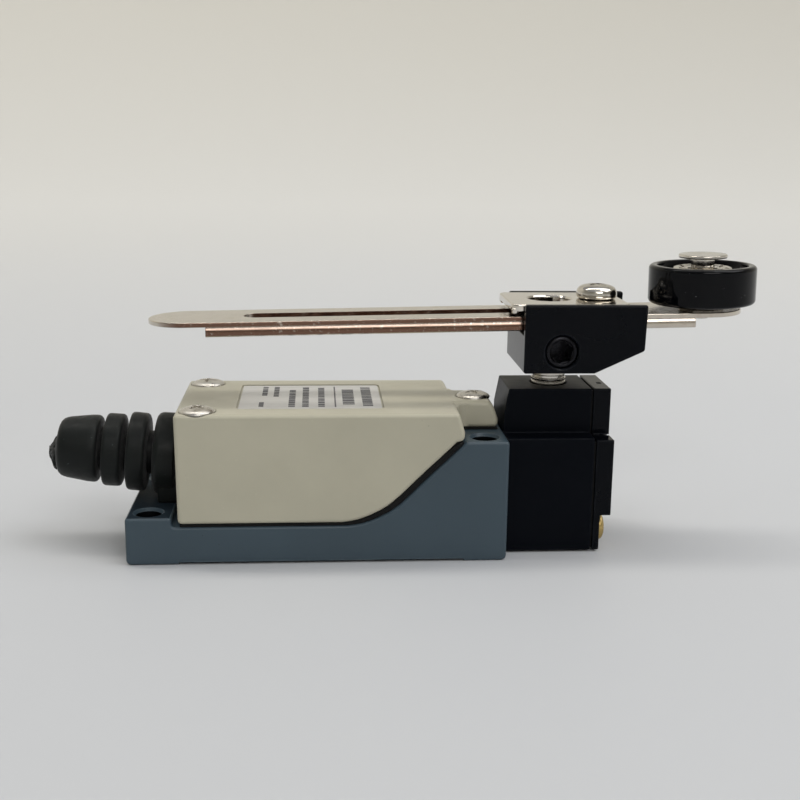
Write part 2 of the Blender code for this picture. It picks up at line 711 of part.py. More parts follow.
def clamp_plate():
    half = 7.55
    low = 41.35
    top = 42.62
    plate = prism("clamp_plate", rounded_rectangle((4.35, -half), (24.5, half), 1.4), "Z", low, top)
    for tag, side in (("near", -1), ("far", 1)):
        y0, y1 = sorted((side * 5.4, side * 7.35))
        tab = box(f"clamp_tab_{tag}", (4.45, y0, 40.95), (5.45, y1, 42.0))
        round_edges(tab, 0.25)
        fuse(plate, tab)
    cut(plate, cylinder("plate_sight_hole", 3.7, 9, (12.0, 0, 38), "+Z", ROUND))
    cut(plate, cylinder("plate_screw_hole", 2.15, 9, (CLAMP_X, 0, 38)))
    return as_part(plate, "nickel")


def clamp_screw():
    cross_screw("clamp_screw", "nickel", (CLAMP_X, 0, 42.66), "+Z", pan_head(3.5, 0.95), (1.9, 8.6), ROUND)


def lever_place(obj):
    """Puts a solid drawn about the lever's own origin, over the shaft, into the tilted lever."""
    obj.data.transform(Matrix.Rotation(LEVER_TILT, 4, "Y"))
    obj.data.transform(Matrix.Translation(Vector((AXIS_X, 0, LEVER_TOP_Z))))
    return obj


def stadium(left, right, radius, steps=12):
    return (
        arc((right - radius, 0), radius, -90, 90, steps)
        + arc((left + radius, 0), radius, 90, 270, steps)
    )


def lever_arm():
    depth = 2.45
    bend = 1.9
    inner = LEVER_HALF - SHEET
    fold = bend - SHEET
    section = (
        [(LEVER_HALF, -depth)]
        + arc((LEVER_HALF - bend, -bend), bend, 0, 90, 5)
        + arc((bend - LEVER_HALF, -bend), bend, 90, 180, 5)
        + [(-LEVER_HALF, -depth), (-inner, -depth)]
        + arc((bend - LEVER_HALF, -bend), fold, 180, 90, 3)
        + arc((LEVER_HALF - bend, -bend), fold, 90, 0, 3)
        + [(inner, -depth)]
    )
    arm = prism("lever_arm", section, "X", -58.6, 23.45, 35)
    end = ROLLER_RADIUS_ARM + LEVER_HALF
    flat = prism("lever_flat", stadium(-68.6, end, LEVER_HALF - 0.02), "Z", -SHEET + 0.01, -0.01)
    slot = prism("lever_slot", stadium(-52.65, 10.45, 2.3, 8), "Z", -5, 5)
    pin_hole = cylinder("lever_pin_hole", 1.35, 10, (ROLLER_RADIUS_ARM, 0, -5))
    fuse(arm, lever_place(flat))
    cut(arm, lever_place(slot), lever_place(pin_hole))
    return as_part(lever_place(arm), "nickel")


def roller_group():
    at = (ROLLER_RADIUS_ARM, 0, 0)
    spacer = turned("roller_spacer", [(2.06, 0.04), (3.9, 0.04), (3.9, 0.74), (2.06, 0.74)], at)
    as_part(lever_place(spacer), "nickel")
    wheel = turned(
        "roller",
        [(3.42, 0.95), (6.9, 0.95), (7.5, 0.8), (8.3, 0.8), (8.95, 1.1), (ROLLER_R, 1.7),
         (ROLLER_R, 6.6), (8.95, 7.15), (8.3, 7.42), (7.9, 7.42), (7.5, 7.1), (7.3, 5.9),
         (3.42, 5.9)],
        at, segments=FINE,
    )
    as_part(lever_place(wheel), "roller_plastic")
    sleeve = turned(
        "roller_bushing",
        [(2.08, 0.82), (3.36, 0.82), (3.36, 5.96), (5.0, 5.96), (5.0, 6.7), (4.6, 7.0),
         (3.9, 7.05), (3.7, 6.75), (2.9, 6.75), (2.7, 7.05), (2.08, 7.05)],
        at, segments=ROUND,
    )
    as_part(lever_place(sleeve), "nickel")
    pin = turned(
        "roller_pin",
        [(0, -2.0), (1.25, -1.95), (1.7, -1.7), (1.8, -0.9), (1.3, -0.88), (1.3, 0.02),
         (2.0, 0.04), (2.0, 8.55), (4.0, 8.58), (4.13, 8.7), (4.13, 9.05), (3.98, 9.18), (0, 9.2)],
        at, segments=ROUND,
    )
    as_part(lever_place(pin), "nickel")


def build():
    base_housing()
    cover()
    cover_gasket()
    cover_screws()
    rating_label()
    cable_boot()
    head_body()
    cap_gasket()
    head_cap()
    cap_screws()
    ring("head_seal", "black_seal", 3.75, 5.1, 3.9, 5.0, (0, 0, PLUNGER_Z), "+X", 0.25)
    ring("shaft_seal", "black_seal", 3.04, 3.9, 22.1, 23.9, (AXIS_X, 0, 0), "+Z", 0.25)
    operating_shaft()
    actuating_cam()
    head_plunger()
    coil("plunger_spring", "nickel", 3.0, 0.3, -12.2, 6.4, 5, (0, PLUNGER_Z))
    switch_case()
    case_screws()
    contact_carrier()
    moving_bridge()
    terminals()
    earth_screw()
    lever_bracket()
    set_screw()
    clamp_plate()
    clamp_screw()
    lever_arm()
    roller_group()


clear_scene()
PARTS, CUTTERS = make_collections()
build()
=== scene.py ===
"""Looks of the roller-lever limit switch: the visible pieces, their materials and the studio.

Shapes are drawn in millimetres and baked to metres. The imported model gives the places.
"""

import json
import math
import random

import bmesh
import bpy
from mathutils import Matrix, Vector, noise


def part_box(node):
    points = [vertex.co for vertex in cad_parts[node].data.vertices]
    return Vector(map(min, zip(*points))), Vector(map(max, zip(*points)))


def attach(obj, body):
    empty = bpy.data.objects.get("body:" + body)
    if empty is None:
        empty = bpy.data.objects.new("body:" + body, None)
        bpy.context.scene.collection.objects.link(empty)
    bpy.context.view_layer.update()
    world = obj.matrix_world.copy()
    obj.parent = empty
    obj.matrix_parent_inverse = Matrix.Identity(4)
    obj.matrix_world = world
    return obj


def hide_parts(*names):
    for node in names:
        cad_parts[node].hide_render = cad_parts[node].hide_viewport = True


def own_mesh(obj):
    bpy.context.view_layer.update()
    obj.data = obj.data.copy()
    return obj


MM = 0.001

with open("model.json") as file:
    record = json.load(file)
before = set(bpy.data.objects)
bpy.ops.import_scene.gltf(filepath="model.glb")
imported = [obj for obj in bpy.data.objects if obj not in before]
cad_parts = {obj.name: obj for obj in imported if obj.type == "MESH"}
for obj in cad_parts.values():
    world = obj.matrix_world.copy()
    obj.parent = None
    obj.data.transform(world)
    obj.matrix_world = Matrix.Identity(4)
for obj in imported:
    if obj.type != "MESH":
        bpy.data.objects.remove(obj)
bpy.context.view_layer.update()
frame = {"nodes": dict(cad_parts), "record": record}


def box_mm(node):
    low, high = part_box(node)
    return low / MM, high / MM


def middle_mm(node):
    low, high = box_mm(node)
    return (low + high) / 2


# Driving places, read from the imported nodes
BASE_LOW, BASE_HIGH = box_mm("base_housing")
COVER_LOW, COVER_HIGH = box_mm("cover")
HEAD_LOW, HEAD_HIGH = box_mm("head_body")
CAP_LOW, CAP_HIGH = box_mm("head_cap")
BRACKET_LOW, BRACKET_HIGH = box_mm("lever_bracket")
PLATE_LOW, PLATE_HIGH = box_mm("clamp_plate")
AXIS_X = middle_mm("operating_shaft").x
CLAMP_X = middle_mm("clamp_screw").x

# Enclosure, millimetres
TOWER_TOP = BASE_HIGH.z
LEDGE_TOP = 8.05
SEAT_Z = 6.45
NOTCH_X = -51.95
COVER_LEFT = -50.9
COVER_TOP = COVER_HIGH.z
COVER_HALF = COVER_HIGH.y
NECK_HALF = 4.95
SCREW_SPOTS = [(-47.5, -10.65), (-47.5, 10.65), (-0.8, 0.0)]
HOLE_SPOTS = [(0.0, TOWER_TOP), (-56.0, LEDGE_TOP)]
HOLE_PITCH_HALF = 10.0
HOLE_RADIUS = 2.15
HOLE_RIM = 2.6
FLOOR = 2.3
CAVITY_LEFT = -44.2
BAY_LEFT = -49.2
BAY_RIGHT = -43.0
BAY_HALF = 7.0
COVER_ROOF = 23.8
SCREW_HOLE = 1.6

# Head
HEAD_SHOULDER = 20.2
CAP_SHOULDER = 19.85
BOSS_HALF = 5.85
BOSS_TOP = HEAD_HIGH.z
CAP_THIN = 20.35
CAP_STEP_Z = 6.5
CAP_SCREW_Y = 5.9
CAP_SCREW_LOW = 3.4
CAP_SCREW_HIGH = 17.2
SHAFT_RADIUS = 3.0
SHAFT_BORE = 3.06

# Lever
LEVER_TILT = math.radians(-1.15)
LEVER_TOP_Z = 40.6
LEVER_HALF = 6.75
SHEET = 0.85
FLANGE_DEPTH = 2.45
ROLLER_ARM = 26.35

# Boot
BOOT_TILT = math.radians(4.4)
BOOT_AT = (-51.9, 0.0, 15.35)


# ---------------------------------------------------------------- mesh helpers

AIM = {
    "+Z": Matrix.Identity(3),
    "+X": Matrix.Rotation(math.radians(90), 3, "Y"),
    "-X": Matrix.Rotation(math.radians(-90), 3, "Y"),
    "-Y": Matrix.Rotation(math.radians(90), 3, "X"),
}
SCRATCH = []


def to_object(name, bm):
    bmesh.ops.recalc_face_normals(bm, faces=bm.faces)
    mesh = bpy.data.meshes.new(name)
    bm.to_mesh(mesh)
    bm.free()
    obj = bpy.data.objects.new(name, mesh)
    bpy.context.scene.collection.objects.link(obj)
    SCRATCH.append(obj)
    return obj


def block(name, low, high):
    bm = bmesh.new()
    bmesh.ops.create_cube(bm, size=1.0)
    bmesh.ops.scale(bm, vec=[h - l for l, h in zip(low, high)], verts=bm.verts)
    bmesh.ops.translate(bm, vec=[(l + h) / 2 for l, h in zip(low, high)], verts=bm.verts)
    return to_object(name, bm)


def prism(name, outline, axis, low, high):
    """Extrudes an outline along an axis: (y, z) pairs for X, (x, z) for Y, (x, y) for Z."""
    place = {
        "X": lambda a, b: (low, a, b),
        "Y": lambda a, b: (a, low, b),
        "Z": lambda a, b: (a, b, low),
    }[axis]
    step = Vector({"X": (1, 0, 0), "Y": (0, 1, 0), "Z": (0, 0, 1)}[axis])
    bm = bmesh.new()
    face = bm.faces.new([bm.verts.new(place(a, b)) for a, b in outline])
    out = bmesh.ops.extrude_face_region(bm, geom=[face])
    moved = [g for g in out["geom"] if isinstance(g, bmesh.types.BMVert)]
    bmesh.ops.translate(bm, vec=step * (high - low), verts=moved)
    return to_object(name, bm)


def turned(name, profile, at=(0, 0, 0), aim="+Z", segments=64):
    bm = bmesh.new()
    verts = [bm.verts.new((r, 0, h)) for r, h in profile]
    edges = [bm.edges.new(pair) for pair in zip(verts, verts[1:])]
    if profile[0][0] > 0:
        edges.append(bm.edges.new((verts[-1], verts[0])))
    bmesh.ops.spin(
        bm, geom=verts + edges, cent=(0, 0, 0), axis=(0, 0, 1),
        angle=math.tau, steps=segments, use_merge=True,
    )
    bmesh.ops.remove_doubles(bm, verts=bm.verts, dist=0.0001)
    bmesh.ops.rotate(bm, cent=(0, 0, 0), matrix=AIM[aim], verts=bm.verts)
    bmesh.ops.translate(bm, vec=at, verts=bm.verts)
    return to_object(name, bm)


def cylinder(name, radius, length, at, aim="+Z", segments=48):
    return turned(name, [(0, 0), (radius, 0), (radius, length), (0, length)], at, aim, segments)


def boolean(obj, others, operation, solver="EXACT"):
    for other in others:
        step = obj.modifiers.new(operation.lower(), "BOOLEAN")
        step.operation = operation
        step.solver = solver
        step.object = other
    return obj


def cut(obj, *others, solver="EXACT"):
    return boolean(obj, others, "DIFFERENCE", solver)


def fuse(obj, *others, solver="EXACT"):
    return boolean(obj, others, "UNION", solver)


def soften(obj, width, segments=3, angle=35):
    step = obj.modifiers.new("soften", "BEVEL")
    step.width = width
    step.segments = segments
    step.limit_method = "ANGLE"
    step.angle_limit = math.radians(angle)
    step.use_clamp_overlap = True
    return obj


def evaluated_mesh(obj):
    bpy.context.view_layer.update()
    graph = bpy.context.evaluated_depsgraph_get()
    return bpy.data.meshes.new_from_object(obj.evaluated_get(graph))


def freeze(obj):
    """Applies the modifiers so far, so that later steps see plain geometry."""
    mesh = evaluated_mesh(obj)
    obj.modifiers.clear()
    old = obj.data
    obj.data = mesh
    bpy.data.meshes.remove(old)
    return obj


def place(obj, tilt, at):
    obj.data.transform(Matrix.Rotation(tilt, 4, "Y"))
    obj.data.transform(Matrix.Translation(Vector(at)))
    return obj


def arc(centre, radius, start, end, steps):
    points = []
    for i in range(steps + 1):
        turn = math.radians(start + (end - start) * i / steps)
        points.append((centre[0] + radius * math.cos(turn), centre[1] + radius * math.sin(turn)))
    return points


def smoothed(points, rounds=2):
    """Corner-cut points of an open line, so that it runs as a curve."""
    for _ in range(rounds):
        fresh = [points[0]]
        for (ax, ay), (bx, by) in zip(points, points[1:]):
            fresh.append((ax * 0.75 + bx * 0.25, ay * 0.75 + by * 0.25))
            fresh.append((ax * 0.25 + bx * 0.75, ay * 0.25 + by * 0.75))
        fresh.append(points[-1])
        points = fresh
    return points


def finish_piece(obj, material, body, nodes, smooth=38):
    """Bakes a millimetre solid into the metre piece that stands for its CAD nodes."""
    freeze(obj)
    mesh = obj.data
    mesh.transform(Matrix.Scale(MM, 4))
    mesh.shade_smooth()
    mesh.set_sharp_from_angle(angle=math.radians(smooth))
    mesh.materials.clear()
    mesh.materials.append(material)
    step = obj.modifiers.new("weighted", "WEIGHTED_NORMAL")
    step.keep_sharp = True
    step.weight = 60
    SCRATCH.remove(obj)
    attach(obj, body)
    if nodes:
        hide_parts(*nodes)
    return obj


def sweep_scratch():
    for obj in list(SCRATCH):
        bpy.data.objects.remove(obj)
    SCRATCH.clear()


# ---------------------------------------------------------------- materials


class Graph:
    """A small wrapper that adds and links shader nodes."""

    def __init__(self, name):
        self.material = bpy.data.materials.new(name)
        self.material.use_nodes = True
        self.tree = self.material.node_tree
        self.shader = self.tree.nodes["Principled BSDF"]
        self.place = self.add("ShaderNodeTexCoord").outputs["Object"]

    def add(self, kind, **settings):
        node = self.tree.nodes.new(kind)
        for key, value in settings.items():
            setattr(node, key, value)
        return node

    def link(self, source, target):
        self.tree.links.new(source, target)

    def stretched(self, scale):
        """Object coordinates scaled by (x, y, z)."""
        node = self.add("ShaderNodeMapping")
        node.inputs["Scale"].default_value = scale
        self.link(self.place, node.inputs["Vector"])
        return node.outputs["Vector"]

    def noise(self, scale, detail=4.0, rough=0.6, vector=None, distortion=0.0):
        node = self.add("ShaderNodeTexNoise")
        node.inputs["Scale"].default_value = scale
        node.inputs["Detail"].default_value = detail
        node.inputs["Roughness"].default_value = rough
        node.inputs["Distortion"].default_value = distortion
        self.link(vector or self.place, node.inputs["Vector"])
        return node.outputs["Fac"]

    def ramp(self, source, stops):
        """stops is a list of (position, colour or grey)."""
        node = self.add("ShaderNodeValToRGB")
        elements = node.color_ramp.elements
        while len(elements) < len(stops):
            elements.new(0.5)
        for element, (position, value) in zip(elements, stops):
            element.position = position
            element.color = value if isinstance(value, tuple) else (value, value, value, 1)
        self.link(source, node.inputs["Fac"])
        return node.outputs["Color"]

    def mix(self, factor, first, second, blend="MIX"):
        node = self.add("ShaderNodeMix", data_type="RGBA", blend_type=blend)
        for socket, value in (("Factor", factor), ("A", first), ("B", second)):
            target = [s for s in node.inputs if s.name == socket and s.enabled][0]
            if isinstance(value, (int, float, tuple)):
                target.default_value = value
            else:
                self.link(value, target)
        return [s for s in node.outputs if s.enabled][0]

    def calc(self, operation, first, second=0.0, clamp=False):
        node = self.add("ShaderNodeMath", operation=operation, use_clamp=clamp)
        for target, value in zip(node.inputs, (first, second)):
            if isinstance(value, (int, float)):
                target.default_value = value
            else:
                self.link(value, target)
        return node.outputs[0]

    def bump(self, height, strength, distance, under=None):
        node = self.add("ShaderNodeBump")
        node.inputs["Strength"].default_value = strength
        node.inputs["Distance"].default_value = distance
        self.link(height, node.inputs["Height"])
        if under:
            self.link(under, node.inputs["Normal"])
        return node.outputs["Normal"]

    def eased_normal(self, radius):
        """A normal that turns softly over edges, within radius metres."""
        node = self.add("ShaderNodeBevel", samples=4)
        node.inputs["Radius"].default_value = radius
        return node.outputs["Normal"]

    def edge_mask(self, radius, low, high):
        """White along edges, black on flat ground."""
        eased = self.eased_normal(radius)
        flat = self.add("ShaderNodeNewGeometry").outputs["Normal"]
        node = self.add("ShaderNodeVectorMath", operation="DOT_PRODUCT")
        self.link(eased, node.inputs[0])
        self.link(flat, node.inputs[1])
        turned_away = self.calc("SUBTRACT", 1.0, node.outputs["Value"])
        return self.ramp(turned_away, [(low, 0.0), (high, 1.0)])

    def occlusion_shade(self, colour, reach, depth):
        """Painted shade: darkens a colour where other surfaces crowd it, within reach metres, as
        ambient occlusion does.
        """
        node = self.add("ShaderNodeAmbientOcclusion", samples=6)
        node.inputs["Distance"].default_value = reach
        fall = self.ramp(node.outputs["AO"], [(0.25, depth), (0.85, 1.0)])
        return self.mix(1.0, colour, fall, "MULTIPLY")

    def set(self, **values):
        for key, value in values.items():
            socket = self.shader.inputs[key.replace("_", " ")]
            if isinstance(value, (int, float, tuple)):
                socket.default_value = value
            else:
                self.link(value, socket)
        return self


def srgb(red, green, blue):
    """Linear colour of an 8-bit sRGB triple."""
    def linear(value):
        value /= 255
        return value / 12.92 if value <= 0.04045 else ((value + 0.055) / 1.055) ** 2.4
    return (linear(red), linear(green), linear(blue), 1.0)


def shade(colour, factor):
    return (colour[0] * factor, colour[1] * factor, colour[2] * factor, 1.0)


def painted(name, colour, rough, grain, edge_colour=None, edge=0.35, specular=0.5):
    """Sprayed paint: faint cloudiness, orange peel, dust nibs, and lighter edges that are partly
    rubbed paint and partly a painted highlight.
    """
    g = Graph(name)
    cloud = g.noise(55.0, 5.0, 0.55)
    body = g.ramp(cloud, [(0.3, shade(colour, 0.93)), (0.7, shade(colour, 1.06))])
    nib = g.ramp(g.noise(2600.0, 2.0, 0.5), [(0.7, 0.0), (0.78, 1.0)])
    body = g.mix(g.calc("MULTIPLY", nib, 0.18), body, shade(colour, 1.5))
    dirt = g.ramp(g.noise(1900.0, 1.0, 0.5), [(0.79, 0.0), (0.8, 1.0)])
    body = g.mix(g.calc("MULTIPLY", dirt, 0.4), body, shade(colour, 0.3))
    # Lighter edges: partly rubbed paint, partly painted highlight along the edges
    if edge_colour:
        rub_and_highlight = g.calc("MULTIPLY", g.edge_mask(0.0004, 0.01, 0.12),
                     g.ramp(g.noise(420.0, 6.0, 0.7), [(0.36, 0.15), (0.6, 1.0)]))
        body = g.mix(g.calc("MULTIPLY", rub_and_highlight, edge), body, edge_colour)
    sheen = g.ramp(g.noise(160.0, 6.0, 0.6), [(0.25, rough * 0.82), (0.8, rough * 1.2)])
    peel = g.noise(grain, 3.0, 0.55)
    fine = g.noise(grain * 4.5, 2.0, 0.5)
    under = g.bump(peel, 0.35, 0.00004, g.eased_normal(0.00022))
    g.set(Base_Color=body, Roughness=sheen, Normal=g.bump(fine, 0.25, 0.00001, under))
    g.shader.inputs["Specular IOR Level"].default_value = specular
    return g.material


def rubber(name, colour, rough):
    """Moulded rubber: matt skin with a dusty bloom, pits and stray specks, and painted shade in its
    grooves and where other parts crowd it.
    """
    g = Graph(name)
    bloom = g.noise(140.0, 8.0, 0.65)
    body = g.ramp(bloom, [(0.3, shade(colour, 0.7)), (0.62, colour), (0.8, shade(colour, 1.5))])
    speck = g.ramp(g.noise(1500.0, 1.0, 0.5), [(0.755, 0.0), (0.775, 1.0)])
    body = g.mix(g.calc("MULTIPLY", speck, 0.6), body, shade(colour, 9.0))
    # Painted shade: darker where other surfaces crowd the rubber, as between the rings
    body = g.occlusion_shade(body, 0.004, 0.15)
    skin = g.ramp(g.noise(900.0, 4.0, 0.6), [(0.3, rough - 0.1), (0.75, rough + 0.12)])
    pits = g.bump(g.noise(2400.0, 3.0, 0.6), 0.35, 0.00003)
    waves = g.bump(g.noise(260.0, 3.0, 0.5), 0.25, 0.00012, pits)
    g.set(Base_Color=body, Roughness=skin, Normal=waves)
    g.shader.inputs["Specular IOR Level"].default_value = 0.18
    g.shader.inputs["Sheen Weight"].default_value = 0.06
    g.shader.inputs["Sheen Roughness"].default_value = 0.5
    return g.material


def plated(name, colour, rough, grain=(1.0, 1.0, 1.0), scuff=0.5, tarnish=None, sides=None):
    """Bright plate over pressed or turned steel, with drawn lines, scuffs and faint stains, and where
    sides is given a painted reflection on the upright flanges.
    """
    g = Graph(name)
    stain = g.noise(170.0, 6.0, 0.6)
    body = g.ramp(stain, [(0.3, shade(colour, 0.86)), (0.7, colour)])
    if tarnish:
        spots = g.ramp(g.noise(620.0, 6.0, 0.7), [(0.54, 0.0), (0.72, 1.0)])
        body = g.mix(g.calc("MULTIPLY", spots, 0.4), body, tarnish)
    if sides:
        # Painted reflection: the upright flanges take a warm dark reflection of the room in front,
        # fading out towards the roller
        split = g.add("ShaderNodeSeparateXYZ")
        g.link(g.add("ShaderNodeNewGeometry").outputs["Normal"], split.inputs[0])
        facing = g.ramp(g.calc("ABSOLUTE", split.outputs["Y"]), [(0.7, 0.0), (0.99, 1.0)])
        along = g.add("ShaderNodeSeparateXYZ")
        g.link(g.place, along.inputs[0])
        reflection_fade = g.ramp(g.calc("MULTIPLY", along.outputs["X"], 20.0), [(0.25, 1.0), (0.45, 0.1)])
        facing = g.calc("MULTIPLY", facing, reflection_fade)
        patchy = g.ramp(g.noise(900.0, 6.0, 0.7), [(0.3, 0.25), (0.42, 1.0), (0.6, 1.0), (0.68, 0.1)])
        body = g.mix(g.calc("MULTIPLY", facing, patchy), body, sides)
    lines = g.noise(1400.0, 3.0, 0.6, g.stretched(grain))
    wear = g.noise(340.0, 8.0, 0.7)
    polish = g.ramp(wear, [(0.35, rough * 0.6), (0.75, rough * (1.0 + 1.6 * scuff))])
    under = g.bump(lines, 0.12, 0.00002, g.eased_normal(0.00018))
    dents = g.bump(g.noise(900.0, 4.0, 0.6), 0.28 * scuff + 0.02, 0.00006, under)
    g.set(Base_Color=body, Roughness=polish, Normal=dents, Metallic=1.0)
    return g.material


def foil(name, colour):
    """Printed foil label: fine brushed grain under a satin film."""
    g = Graph(name)
    lines = g.noise(900.0, 3.0, 0.6, g.stretched((0.03, 1.0, 1.0)))
    body = g.ramp(lines, [(0.3, shade(colour, 0.92)), (0.7, shade(colour, 1.05))])
    satin = g.ramp(g.noise(220.0, 5.0, 0.6), [(0.3, 0.3), (0.75, 0.45)])
    g.set(Base_Color=body, Roughness=satin, Normal=g.bump(lines, 0.1, 0.00001), Metallic=0.35)
    return g.material


def plastic(name, colour, rough, coat=0.6):
    """Glossy moulded plastic with faint flow lines, dust and hair scratches."""
    g = Graph(name)
    flow = g.noise(70.0, 4.0, 0.5)
    body = g.ramp(flow, [(0.3, shade(colour, 0.85)), (0.75, shade(colour, 1.2))])
    dust = g.ramp(g.noise(1900.0, 2.0, 0.5), [(0.73, 0.0), (0.77, 1.0)])
    body = g.mix(g.calc("MULTIPLY", dust, 0.5), body, (0.25, 0.25, 0.25, 1.0))
    hair = g.noise(600.0, 6.0, 0.7, g.stretched((1.0, 1.0, 0.08)))
    gloss = g.ramp(hair, [(0.35, rough * 0.7), (0.75, rough * 1.6)])
    wave = g.bump(g.noise(150.0, 3.0, 0.5), 0.12, 0.0002)
    g.set(Base_Color=body, Roughness=gloss, Normal=g.bump(hair, 0.05, 0.00001, wave))
    g.shader.inputs["Specular IOR Level"].default_value = 0.14
    g.shader.inputs["Coat Weight"].default_value = coat
    g.shader.inputs["Coat Roughness"].default_value = 0.06
    return g.material


NICKEL = srgb(224, 218, 208)
BLUE_GREY = painted("blue_grey_paint", srgb(61, 76, 86), 0.34, 700.0, srgb(120, 134, 142), 0.6, 0.35)
BEIGE = painted("beige_paint", srgb(184, 180, 161), 0.36, 520.0, srgb(204, 200, 186), 0.35, 0.4)
BLACK = painted("black_paint", srgb(5, 7, 12), 0.15, 620.0, srgb(60, 63, 70), 0.45, 0.09)
HEAD_BLACK = painted("head_black", srgb(7, 10, 16), 0.36, 800.0, srgb(52, 55, 62), 0.45, 0.05)
# Painted shade: dark metal for the walls deep in the mounting holes
SHADED_BORE = plated("painted_shade_bore", srgb(34, 38, 42), 0.4, scuff=0.6)
DARK_STEEL = plated("dark_steel", srgb(40, 40, 43), 0.26, scuff=0.6)
# Painted shade: darker paint for the ledge top under the boot
SHADED_LEDGE = painted("painted_shade_ledge", srgb(36, 46, 54), 0.6, 700.0, srgb(110, 124, 132), 0.6, 0.04)
BOOT = rubber("boot_rubber", srgb(17, 21, 20), 0.48)
SEAL = rubber("black_seal", srgb(8, 8, 9), 0.6)
PLATE = plated("nickel_plate", NICKEL, 0.1, (0.06, 1.0, 1.0), 0.35)
SCREW = plated("nickel_screw", srgb(216, 211, 202), 0.13, scuff=0.8, tarnish=srgb(96, 86, 74))
WORN_SCREW = plated("worn_screw", srgb(214, 210, 202), 0.17, scuff=1.9, tarnish=srgb(84, 80, 74))
# The lever's sides colour is a painted reflection of the warm dark room in front
LEVER = plated("nickel_lever", srgb(216, 208, 196), 0.16, (0.04, 1.0, 1.0), 0.6, srgb(168, 146, 128),
               sides=srgb(120, 92, 78))
BRASS = plated("yellow_plate", srgb(196, 170, 112), 0.22, scuff=0.8, tarnish=srgb(104, 80, 44))
FOIL = foil("label_foil", srgb(216, 215, 213))
INK = plastic("label_ink", srgb(96, 96, 100), 0.45, 0.0)
ROLLER = plastic("roller_plastic", srgb(3, 4, 7), 0.1, 0.03)
PHENOLIC = plastic("phenolic", srgb(92, 50, 34), 0.45, 0.0)
COPPER = plated("copper", srgb(190, 132, 98), 0.28, scuff=0.6)
WHITE = plastic("white_plastic", srgb(216, 215, 206), 0.4, 0.1)


# ---------------------------------------------------------------- enclosure


def seat_curve():
    points = [
        (-22.9, SEAT_Z), (-20.7, 6.75), (-18.7, 7.4), (-15.95, 8.75), (-13.85, 10.35),
        (-9.9, 14.35), (-5.8, 18.25), (-3.35, TOWER_TOP),
    ]
    return smoothed(points, 1)


def lifted(points, dx, dz):
    return [(x + dx, z + dz) for x, z in points]


def base_housing():
    outline = (
        arc((BASE_LOW.x + 0.9, 0.9), 0.9, 180, 270, 5)
        + arc((BASE_HIGH.x - 0.9, 0.9), 0.9, 270, 360, 5)
        + [(BASE_HIGH.x, TOWER_TOP)]
        + seat_curve()[::-1]
        + arc((NOTCH_X + 0.7, SEAT_Z + 0.7), 0.7, 270, 180, 4)
        + [(NOTCH_X, LEDGE_TOP), (BASE_LOW.x, LEDGE_TOP)]
    )
    base = prism("base_shell", outline, "Y", BASE_LOW.y, BASE_HIGH.y)
    freeze(soften(base, 0.5, 4, 30))
    cut(base, block("cavity", (CAVITY_LEFT, -11.4, FLOOR), (-4.5, 11.4, 30)),
        block("cable_bay", (BAY_LEFT, -BAY_HALF, FLOOR), (BAY_RIGHT, BAY_HALF, 30)),
        block("relief", (-50.9, -20, -1), (-3.5, 20, 0.45)))
    for x, top in HOLE_SPOTS:
        for side in (-1, 1):
            flare = turned(
                "hole",
                [(0, -1), (HOLE_RADIUS, -1), (HOLE_RADIUS, top - 0.5), (2.35, top - 0.28),
                 (HOLE_RIM, top + 0.02), (HOLE_RIM, top + 1), (0, top + 1)],
                (x, side * HOLE_PITCH_HALF, 0),
            )
            cut(base, flare)
    finish_piece(base, BLUE_GREY, "enclosure", ["base_housing"], 30)
    base.data.materials.append(SHADED_BORE)
    base.data.materials.append(SHADED_LEDGE)
    mark_base_faces(base)


def mark_base_faces(base):
    """Painted shade: dark metal on the walls deep inside the mounting holes, and darker paint on top
    of the ledge under the boot.
    """
    for face in base.data.polygons:
        spot = face.center / MM
        inside = any(
            math.hypot(spot.x - x, abs(spot.y) - HOLE_PITCH_HALF) < 2.3 and spot.z < top - 0.4
            for x, top in HOLE_SPOTS
        )
        if inside and abs(face.normal.z) < 0.3:
            face.material_index = 1
        elif face.normal.z > 0.9 and abs(spot.z - LEDGE_TOP) < 0.1:
            face.material_index = 2


